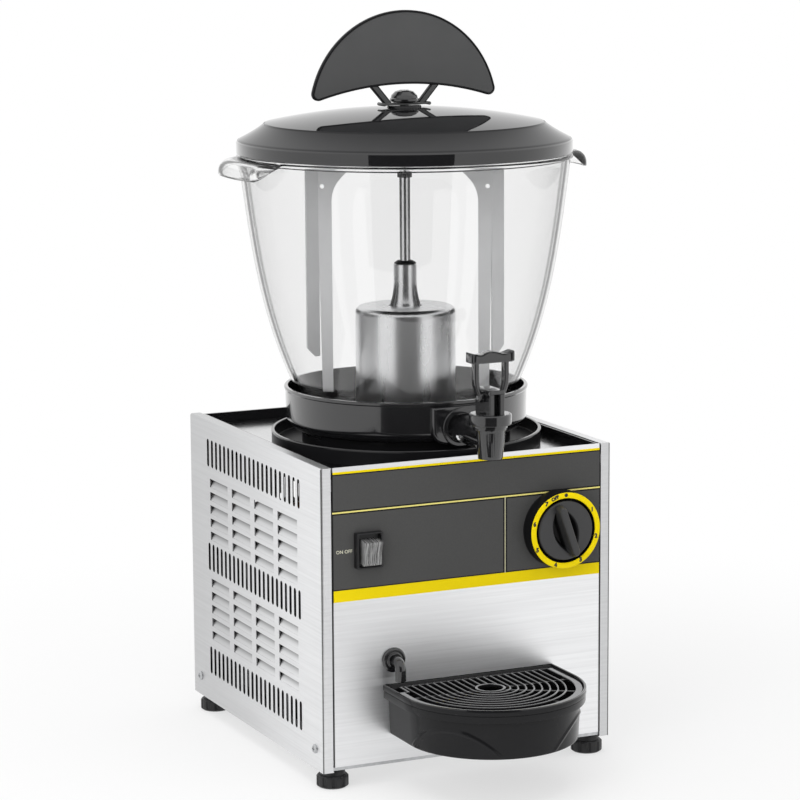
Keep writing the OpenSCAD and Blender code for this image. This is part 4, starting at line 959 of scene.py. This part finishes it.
class DISPENSER_OT_bowl(DispenserOperator, bpy.types.Operator):
    """Makes the clear bowl with its hooked lugs, the black tub and the saucer"""

    bl_idname = "dispenser.bowl"
    bl_label = "Bowl"

    def execute(self, context):
        self.shell()
        self.tub()
        self.saucer()
        dress("rubber", "bowl_seal")
        return {"FINISHED"}

    def shell(self):
        wall, steps, foot_z, rim_z, reach = 3.0, 44, BOWL_FOOT_Z, RIM_Z, 167.5
        heights = [foot_z + (rim_z - 5.3 - foot_z) * k / steps for k in range(steps + 1)]
        foot = [(49.0, 293.0), (78.5, 293.0)]
        foot += [bezier(((78.5, 293.0), (85.2, 293.6), (87.5, foot_z)), t) for t in (0.25, 0.5, 0.75)]
        outside = foot + [(wall_radius(z), z) for z in heights]
        inside = [(wall_radius(z) - wall, z) for z in reversed(heights)]
        inside += [(76.5, 295.6), (49.0, 295.5)]
        bend = (reach - 11.65, rim_z - 13.65)
        tail = ((-3.3, -16.1), (-2.8, -16.8), (-1.6, -17.0), (-0.5, -16.8), (0.0, -16.1))
        hook = [(149.6, rim_z - 5.3)] + arc(bend, 8.35, 90, 0, 8) + [(reach + r, rim_z + z) for r, z in tail]
        hook += arc(bend, 11.65, 0, 90, 10) + [(150.6, rim_z - 2.0)]
        bead = arc((148.5, rim_z - 3.65), 1.65, -90, 90, len(hook) - 1)
        edge = ((148.8, -1.4), (148.75, -0.5), (148.2, 0.0), (146.5, 0.0), (145.9, -0.4), (145.75, -1.2))
        rim = [(r, rim_z + z) for r, z in edge]
        segments = 240
        rings = []
        for k in range(segments):
            a = math.tau * k / segments
            off = math.degrees(math.acos(min(1.0, abs(math.cos(a)))))
            w = smooth((20.5 - off) / 7.0)
            lip = [(b[0] + (h[0] - b[0]) * w, b[1] + (h[1] - b[1]) * w) for b, h in zip(bead, hook)]
            outline = outside + lip + rim + inside
            rings.append([(r * math.cos(a), AXIS[1] + r * math.sin(a), z) for r, z in outline])
        shell = tidy(loft(rings, wrap=True))
        shell = piece("bowl_shell", shell, "clear", "bowl_unit", ("bowl", "bowl_lugs"), 50.0)
        shell.visible_shadow = False

    def tub(self):
        top, bend_r = 329.0, 96.5
        lip = [(108.7, 304), (109.0, 325.6), (109.9, 326.6), (109.9, 328.2), (109.0, top), (106.4, top),
               (106.2, 304)]
        profile = [(60, 291), (bend_r, 291)] + arc((bend_r, 303), 12, -90, 0, 10)[1:]
        profile += fillet(lip, [0, 0.4, 0.6, 0.7, 0.6, 0.6, 0])[1:-1]
        profile += arc((bend_r, 303), 9.4, 0, -90, 8) + [(89.0, 293), (60, 293)]
        tub = turned(profile, segments=192)
        outline = rounded(-26.0, 325.0, 26.0, 291.5, [1.0, 1.0, 15.0, 15.0], 10)
        rings = [[(x, AXIS[1] - math.sqrt(108.0 ** 2 - x * x), z) for x, z in outline]]
        rings += [[(x * (1 - inset / 26.0), y, z + (308.0 - z) * inset / 17.0) for x, z in outline]
                  for inset, y in ((0.0, -73.2), (0.4, -74.5), (1.3, -75.4), (2.6, -75.7))]
        pad = loft(rings)
        collar = turned_forward(rounded(12.6, 0.0, 17.4, 2.8, [0, 0, 1.3, 1.3]), (0.0, -75.3, 306.5))
        piece("black_tub", join(tub, pad, collar), "gloss_black", "bowl_unit", ("bowl_tub",))

    def saucer(self):
        section = ((58, 0), (121.5, 0), (121.5, 12.2), (121.9, 13.2), (121.1, 14), (119, 14), (119, 3), (94, 3),
                   (94, 16), (80, 16), (80, 3), (58, 3))
        profile = fillet([(r, SAUCER_Z + h) for r, h in section],
                         [0, 0.3, 0.4, 0.5, 0.5, 0.5, 1.2, 0.3, 0.3, 0.3, 0.3, 0])
        piece("black_saucer", turned(profile, segments=192), "saucer_black", "cabinet", ("base_saucer",))


class DISPENSER_OT_evaporator(DispenserOperator, bpy.types.Operator):
    """Dresses the cold cylinder and its drive shaft"""

    bl_idname = "dispenser.evaporator"
    bl_label = "Cold cylinder"

    def execute(self, context):
        self.cylinder()
        dress("satin_black", "shaft_bush")
        dress("pin_steel", "drive_shaft")
        return {"FINISHED"}

    def cylinder(self):
        r, top, neck, flare, flare_h = 45.0, DOME_HIGH.z - 38.0, 10.4, 3.0, 20.0
        profile = [(r - 1.5, SAUCER_Z), (56, SAUCER_Z), (56, SAUCER_Z + 1.5), (r, SAUCER_Z + 1.5)]
        profile += arc((r - 6, top - 6), 6, 0, 90, 10)
        profile += [(neck + flare + 1.6, top), (neck + flare + 1.4, top - 0.7), (neck + flare + 0.4, top - 0.7),
                    (neck + flare, top + 0.2)]
        profile += [(neck + flare * (1 - t / 12) ** 2, top + 2 + flare_h * t / 12) for t in range(13)]
        profile += [(neck, DOME_HIGH.z - 0.6), (neck - 0.6, DOME_HIGH.z), (neck - 2.4, DOME_HIGH.z),
                    (neck - 2.4, top - 1.5)]
        profile += arc((r - 6, top - 6), 4.5, 90, 0, 8)
        piece("cold_cylinder", turned(profile, segments=160), "cylinder_steel", "cabinet", ("evaporator_dome",))


class DISPENSER_OT_stirrer(DispenserOperator, bpy.types.Operator):
    """Dresses the folded stirrer and its hub"""

    bl_idname = "dispenser.stirrer"
    bl_label = "Stirrer"

    def execute(self, context):
        dress("stirrer_steel", "stirrer_frame")
        dress("hub_grey", "stirrer_hub", edge=0.5)
        return {"FINISHED"}


class DISPENSER_OT_tap(DispenserOperator, bpy.types.Operator):
    """Dresses the tap and makes its lever"""

    bl_idname = "dispenser.tap"
    bl_label = "Tap"

    def execute(self, context):
        dress("gloss_black", "tap_body", edge=1.0)
        dress("rubber", "tap_gasket", "plunger_seal")
        dress("satin_black", "tap_nut")
        dress("pin_steel", "tap_screw", "tap_pivot_pin")
        dress("zinc", "tap_spring")
        dress("white", "tap_plunger")
        self.bonnet()
        self.lever()
        return {"FINISHED"}

    def bonnet(self):
        """A ring on the spout's collar with a slotted block that carries the lever."""
        ring_z, ring_top, block_top = 318.7, 328.2, 349.5
        front, back, half, slot, slot_top = TAP_Y - 13.5, TAP_Y + 15.0, 7.0, 2.7, 346.0
        section = [(9.0, ring_z), (18.2, ring_z), (18.4, ring_top), (9.0, ring_top)]
        ring = turned(fillet(section, [0, 0.8, 2.0, 0]), (0.0, TAP_Y), 96)
        slot_y = front + 7
        plan = [(-half, back), (-half, front), (-slot, front), (-slot, slot_y), (slot, slot_y), (slot, front),
                (half, front), (half, back)]
        cheeks = loft([[(x, y, z) for x, y in plan] for z in (ring_top - 1.0, slot_top)])
        cap = fillet([(-half, back), (-half, front), (half, front), (half, back)], 0.8, 3)
        crown = loft([[(x * (1 - inset / half), y + (TAP_Y - y) * inset / 14.0, z) for x, y in cap]
                      for inset, z in ((0.0, slot_top - 0.1), (0.0, block_top - 0.9), (0.3, block_top - 0.25),
                                       (0.9, block_top))])
        piece("tap_cap", join(ring, cheeks, crown), "gloss_black", "bowl_unit", ("tap_bonnet",), 35.0, 0.6)

    def lever(self):
        """A waved cross bar with an inset front, on two bowed legs."""
        half, bar_z, top = 20.5, 372.5, 380.5
        pivot_z, leg_in, leg_t, leg_d, spread = 342.5, 7.5, 4.4, 7.0, 4.4
        columns = 44
        stations = [-1.0, -0.99, -0.97] + [2 * i / columns - 1 for i in range(2, columns - 1)] + [0.97, 0.99, 1.0]
        rings = []
        for u in stations:
            near = min(1.0, (1 - abs(u)) * half / 1.0)
            shrink = 1 - math.sqrt(max(0.0, 1 - (1 - near) ** 2))
            high = top + 1.2 * math.cos(math.radians(u * 330.0)) - 1.0 * shrink
            low = bar_z + 1.0 * shrink
            d = 6.0 - 1.0 * shrink
            outline = rounded(-d, low, d, high, 1.0, 3)
            rings.append([(half * u, TAP_Y + y, z) for y, z in outline])
        bar = loft(rings)
        front = [f for f in bar.faces if f.calc_center_median().y < TAP_Y - 4.0
                 and abs(f.calc_center_median().x) < half - 2.0
                 and max(abs(a.co.y - b.co.y) for a in f.verts for b in f.verts) < 0.2]
        bmesh.ops.inset_region(bar, faces=front, thickness=0.6, depth=0.0)
        bmesh.ops.inset_region(bar, faces=front, thickness=0.9, depth=-1.3)
        parts = [bar]
        for s in (-1.0, 1.0):
            rings = []
            for k in range(13):
                t = k / 12
                x = leg_in + leg_t / 2 + spread * math.sin(math.pi / 2 * min(1.0, t / 0.5))
                z = pivot_z + (bar_z + 1 - pivot_z) * t
                outline = rounded(-leg_t / 2, -leg_d / 2, leg_t / 2, leg_d / 2, 1.1, 3)
                rings.append([(s * (x + p), TAP_Y + q, z) for p, q in outline])
            parts.append(loft(rings))
            eye = rounded(0.0, leg_in, 4.5, leg_in + leg_t, [0, 0.6, 0.6, 0])
            parts.append(swept_round(eye, 40, lambda r, x, c, n: (s * x, TAP_Y + r * c, pivot_z + r * n)))
        piece("tap_lever", join(*parts), "gloss_black", "lever", ("tap_handle",), 40.0)


class DISPENSER_OT_lid(DispenserOperator, bpy.types.Operator):
    """Makes the lid, and dresses its sign and knob"""

    bl_idname = "dispenser.lid"
    bl_label = "Lid"

    def execute(self, context):
        self.cover()
        self.sign()
        self.knob()
        return {"FINISHED"}

    def cover(self):
        rim, top, crown_r, sag = RIM_Z, 577.5, 125.5, 13.2
        arc_r = (crown_r * crown_r + sag * sag) / (2 * sag)

        def crown(r, drop=0.0):
            return (r, top - arc_r + math.sqrt(arc_r * arc_r - r * r) - drop)

        edge = rim + 25.5
        band = fillet([(139.5, rim), (150.0, rim), (150.0, rim + 10.0), (148.5, rim + 11.8)],
                      [0.2, 0.9, 0.6, 0.3])
        slope = ((148.5, rim + 11.8), (133.5, rim + 19.3), (125.9, edge))
        bevel = [bezier(slope, k / 24) for k in range(1, 25)]
        groove = [(125.7, edge + 0.3), (125.3, edge - 0.3), (124.7, edge - 0.3), (124.4, edge + 0.5)]
        dome = [crown(124.0 * (1 - k / 24)) for k in range(24)]
        boss = [crown(15.6), (15.2, 578.4), (14.7, 579.0), (4.1, 579.0)]
        dome = [p for p in dome if p[0] > 16.0] + boss
        under = [crown(4.1, 2.6)] + [crown(123.0 * k / 12, 2.6) for k in range(1, 13)]
        skirt = ((136.5, 12.0), (136.5, -3.6), (136.9, -4.0), (139.1, -4.0), (139.5, -3.6))
        under += [(r, rim + z) for r, z in skirt]
        profile = band + bevel + groove + dome + under
        piece("lid_cover", turned(profile, segments=216), "lid_black", "cover", ("lid",), 40.0)

    def sign(self):
        """A crescent plate in a raised border, on two struts and a foot bar with curled ends."""
        y0, foot, tip_r = AXIS[1], 579.0, 6.0
        upper, upper_r, lower, lower_r = (0.0, 571.43), 91.57, (0.0, 314.33), 283.47
        tip = (83.16, 591.6)
        lean = math.degrees(math.atan2(tip[1] - upper[1], tip[0]))
        under = math.degrees(math.atan2(tip[1] - lower[1], tip[0]))

        def crescent(inset, y):
            line = arc(upper, upper_r - inset, lean, 180 - lean, 96)
            line += arc((-tip[0], tip[1]), tip_r - inset, 180 - lean, 360 - under, 20)[1:]
            line += arc(lower, lower_r + inset, 180 - under, under, 56)[1:]
            line += arc(tip, tip_r - inset, under - 180, lean, 20)[1:-1]
            return [(x, y0 + y, z) for x, z in line]

        border = ((0.0, -1.5), (0.4, -2.1), (1.0, -2.3), (1.7, -2.1), (2.1, -1.3), (2.1, 1.3), (1.7, 2.1),
                  (1.0, 2.3), (0.4, 2.1), (0.0, 1.5))
        dark = [loft([crescent(inset, y) for inset, y in border], wrap=True)]
        plate = [loft([crescent(2.0, y) for y in (-1.6, 1.6)])]
        for s in (-1.0, 1.0):
            for parts, bar, thick in ((dark, [(12.5, 2), (20.0, 2), (34.0, 18), (26.0, 18)], 1.8),
                                      (plate, [(14.2, 2.4), (18.9, 2.4), (31.8, 17.2), (27.0, 17.2)], 2.2)):
                parts.append(loft([[(s * x, y0 + y, foot + z) for x, z in fillet(bar, 0.4, 2)]
                                   for y in (-thick, thick)]))
            rivet = stadium(1.5, 1.1, 6)
            plate.append(loft([[(s * (24.6 + u - grow * u), y0 + y, foot + 12 + v - grow * v) for u, v in rivet]
                               for y, grow in ((-2.3, 0.35), (-2.1, 0.0), (2.1, 0.0), (2.3, 0.35))]))
        piece("sign_border", join(*dark), "shade_black", "cover")
        piece("sign_plate", join(*plate), "sign_grey", "cover", ("lid_sign",), 30.0)
        curl = arc((21.9, foot + 1.5), 1.5, -145, 145, 14)
        outline = curl + [(-x, z) for x, z in reversed(curl)]
        bar = loft([[(x * (1 - 0.01 * trim), y0 + y, z + (foot + 1.5 - z) * trim * 0.2) for x, z in outline]
                    for y, trim in ((-7.0, 1.0), (-6.6, 0.0), (6.6, 0.0), (7.0, 1.0))])
        piece("sign_foot", bar, "sign_grey", "cover")

    def knob(self):
        low, high = node_box("lid_knob")
        seat = 582.0
        profile = [(0, low.z), (4.0, low.z), (4.0, seat), (10.6, seat)]
        head = [(10.6, seat), (13.0, seat + 0.8), (13.0, seat + 3.0), (12.0, seat + 3.6), (11.6, seat + 6.0),
                (8.2, seat + 9.4), (3.6, high.z)]
        profile += fillet(head, [0.3, 0.6, 0.5, 0.4, 2.0, 2.0, 1.5])[1:]
        profile += [(0, high.z)]
        piece("sign_knob", turned(profile, segments=96), "gloss_black", "cover", ("lid_knob",), 40.0)


class DISPENSER_OT_drip_tray(DispenserOperator, bpy.types.Operator):
    """Makes the drip tray and dresses its grid"""

    bl_idname = "dispenser.drip_tray"
    bl_label = "Drip tray"

    def execute(self, context):
        self.tray()
        self.grid()
        return {"FINISHED"}

    def tray(self):
        back = -91.8
        sides, bends = 24, 240

        def emboss(a, z):
            """Height of the two arched ribs on the front wall."""
            off = (abs(math.degrees(a) + 90.0) - 53.0) / 36.0
            under = 70.5 - 25.0 * off * off - z
            return 0.9 * smooth(under / 2.6) * smooth((5.8 - under) / 2.6) * smooth((z - 45.0) / 2.0)

        def ring(r, z, back_y, wall=False):
            points = [(r, back_y + (TRAY_Y - back_y) * k / sides, z) for k in range(sides)]
            for k in range(bends + 1):
                a = -math.pi * k / bends
                reach = r + (emboss(a, z) if wall else 0.0)
                points.append((reach * math.cos(a), TRAY_Y + reach * math.sin(a), z))
            points += [(-r, TRAY_Y + (back_y - TRAY_Y) * k / sides, z) for k in range(1, sides + 1)]
            return points

        rows = 44
        wall = [(76.3 + 1.6 * k / rows, 45.4 + 30.6 * k / rows) for k in range(rows + 1)]
        rings = [ring(r, z, back) for r, z in ((74.6, 44.0), (75.6, 44.2), (76.2, 44.9))]
        rings += [ring(r, z, back, True) for r, z in wall]
        band = [(78.2, 76.5), (81.6, 76.7), (82.2, 77.0), (82.4, 77.6), (82.4, 83.0), (82.1, 83.3), (82.1, 83.7),
                (82.8, 84.0), (83.0, 84.5), (83.0, 88.0), (82.8, 88.7), (82.2, 89.0), (81.6, 89.0), (81.1, 88.8),
                (80.9, 88.3)]
        rings += [ring(r, z, back) for r, z in band]
        inner_back = back - 2.5
        inside = [(80.9, 84.3), (80.6, 84.0), (76.8, 84.0), (76.5, 83.6), (75.0, 49.0), (74.2, 47.2),
                  (72.6, 46.5)]
        rings += [ring(r, z, inner_back) for r, z in inside]
        hook_end = node_box("drip_tray")[1].y - 0.6
        parts = [loft(rings)]
        for x in (-50.0, 50.0):
            outline = rounded(x - 10, 60, x + 10, 66, 1.0, 3)
            parts.append(loft([[(p, y, q) for p, q in outline] for y in (back - 1.0, hook_end)]))
        piece("tray_shell", join(*parts), "tray_black", "tray", ("drip_tray",), 30.0)

    def grid(self):
        """Thin ribs that run from the back, round the hole in the middle and back again."""
        back, low, high = -95.1, 84.0, 87.0
        notch_x, notch_y, pitch = -69.5, -115.5, 6.9

        def run(r, left_end=back):
            line = [(r, back), (r, TRAY_Y)]
            line += arc((0.0, TRAY_Y), r, 0, -180, 72)[1:]
            return line + [(-r, left_end)]

        parts = [rail(run(76.8, notch_y), 3.2, low, high)]
        parts += [rail(run(17.25 + pitch * i), 0.9, low, high) for i in range(8)]
        parts.append(rail([(79.0, back - 1.4), (notch_x, back - 1.4)], 1.4, low, high))
        parts.append(rail([(notch_x, back - 1.4), (notch_x, notch_y), (-79.0, notch_y)], 1.2, low, high))
        parts += [rail([(x, back), (x, TRAY_Y + math.sqrt(13.0 ** 2 - x * x))], 0.9, low, high)
                  for x in (-1.5 * pitch, -0.5 * pitch, 0.5 * pitch, 1.5 * pitch)]
        for degrees in (-150.0, -120.0, -60.0, -30.0):
            a = math.radians(degrees)
            c, n = math.cos(a), math.sin(a)
            spoke = [(r * c, TRAY_Y + r * n) for r in (13.0, 78.0)]
            parts.append(rail(spoke, 0.8, low, high - 1.7))
        parts += [rail([(s * 13.0, TRAY_Y + 1.0), (s * 78.0, TRAY_Y + 1.0)], 0.8, low, high - 1.4)
                  for s in (-1.0, 1.0)]
        hole = rounded(11.0, low, 13.4, high, 0.5, 2)
        parts.append(turned(hole, (0.0, TRAY_Y), 72))
        piece("grid_ribs", join(*parts), "gloss_black", "grid", ("drip_grid",), 30.0)


class DISPENSER_PT_panel(bpy.types.Panel):
    """Lists the dispenser's steps and settings"""

    bl_idname = "DISPENSER_PT_panel"
    bl_label = "Drink dispenser"
    bl_space_type = "VIEW_3D"
    bl_region_type = "UI"
    bl_category = "Dispenser"

    def draw(self, context):
        for operator in OPERATORS:
            self.layout.operator(operator.bl_idname)
        for group in (getattr(context.scene, attribute) for attribute in GROUPS):
            for name in group.bl_rna.properties.keys():
                if name not in ("rna_type", "name"):
                    self.layout.prop(group, name)


OPERATORS = (
    DISPENSER_OT_stage, DISPENSER_OT_cabinet, DISPENSER_OT_front_label, DISPENSER_OT_controls,
    DISPENSER_OT_cooling, DISPENSER_OT_feet, DISPENSER_OT_bowl, DISPENSER_OT_evaporator,
    DISPENSER_OT_stirrer, DISPENSER_OT_tap, DISPENSER_OT_lid, DISPENSER_OT_drip_tray,
)
GROUPS = {"dispenser_colours": DispenserColours, "dispenser_sizes": DispenserSizes,
          "dispenser_stage": DispenserStage}
CLASSES = (*GROUPS.values(), *OPERATORS, DISPENSER_PT_panel)


def register():
    for cls in CLASSES:
        bpy.utils.register_class(cls)
    for attribute, group in GROUPS.items():
        setattr(bpy.types.Scene, attribute, bpy.props.PointerProperty(type=group))


def unregister():
    for attribute in GROUPS:
        delattr(bpy.types.Scene, attribute)
    for cls in reversed(CLASSES):
        bpy.utils.unregister_class(cls)


def main():
    register()
    bpy.ops.dispenser.stage()
    bpy.ops.dispenser.cabinet()
    bpy.ops.dispenser.front_label()
    bpy.ops.dispenser.controls()
    bpy.ops.dispenser.cooling()
    bpy.ops.dispenser.feet()
    bpy.ops.dispenser.bowl()
    bpy.ops.dispenser.evaporator()
    bpy.ops.dispenser.stirrer()
    bpy.ops.dispenser.tap()
    bpy.ops.dispenser.lid()
    bpy.ops.dispenser.drip_tray()


if __name__ == "__main__":
    main()
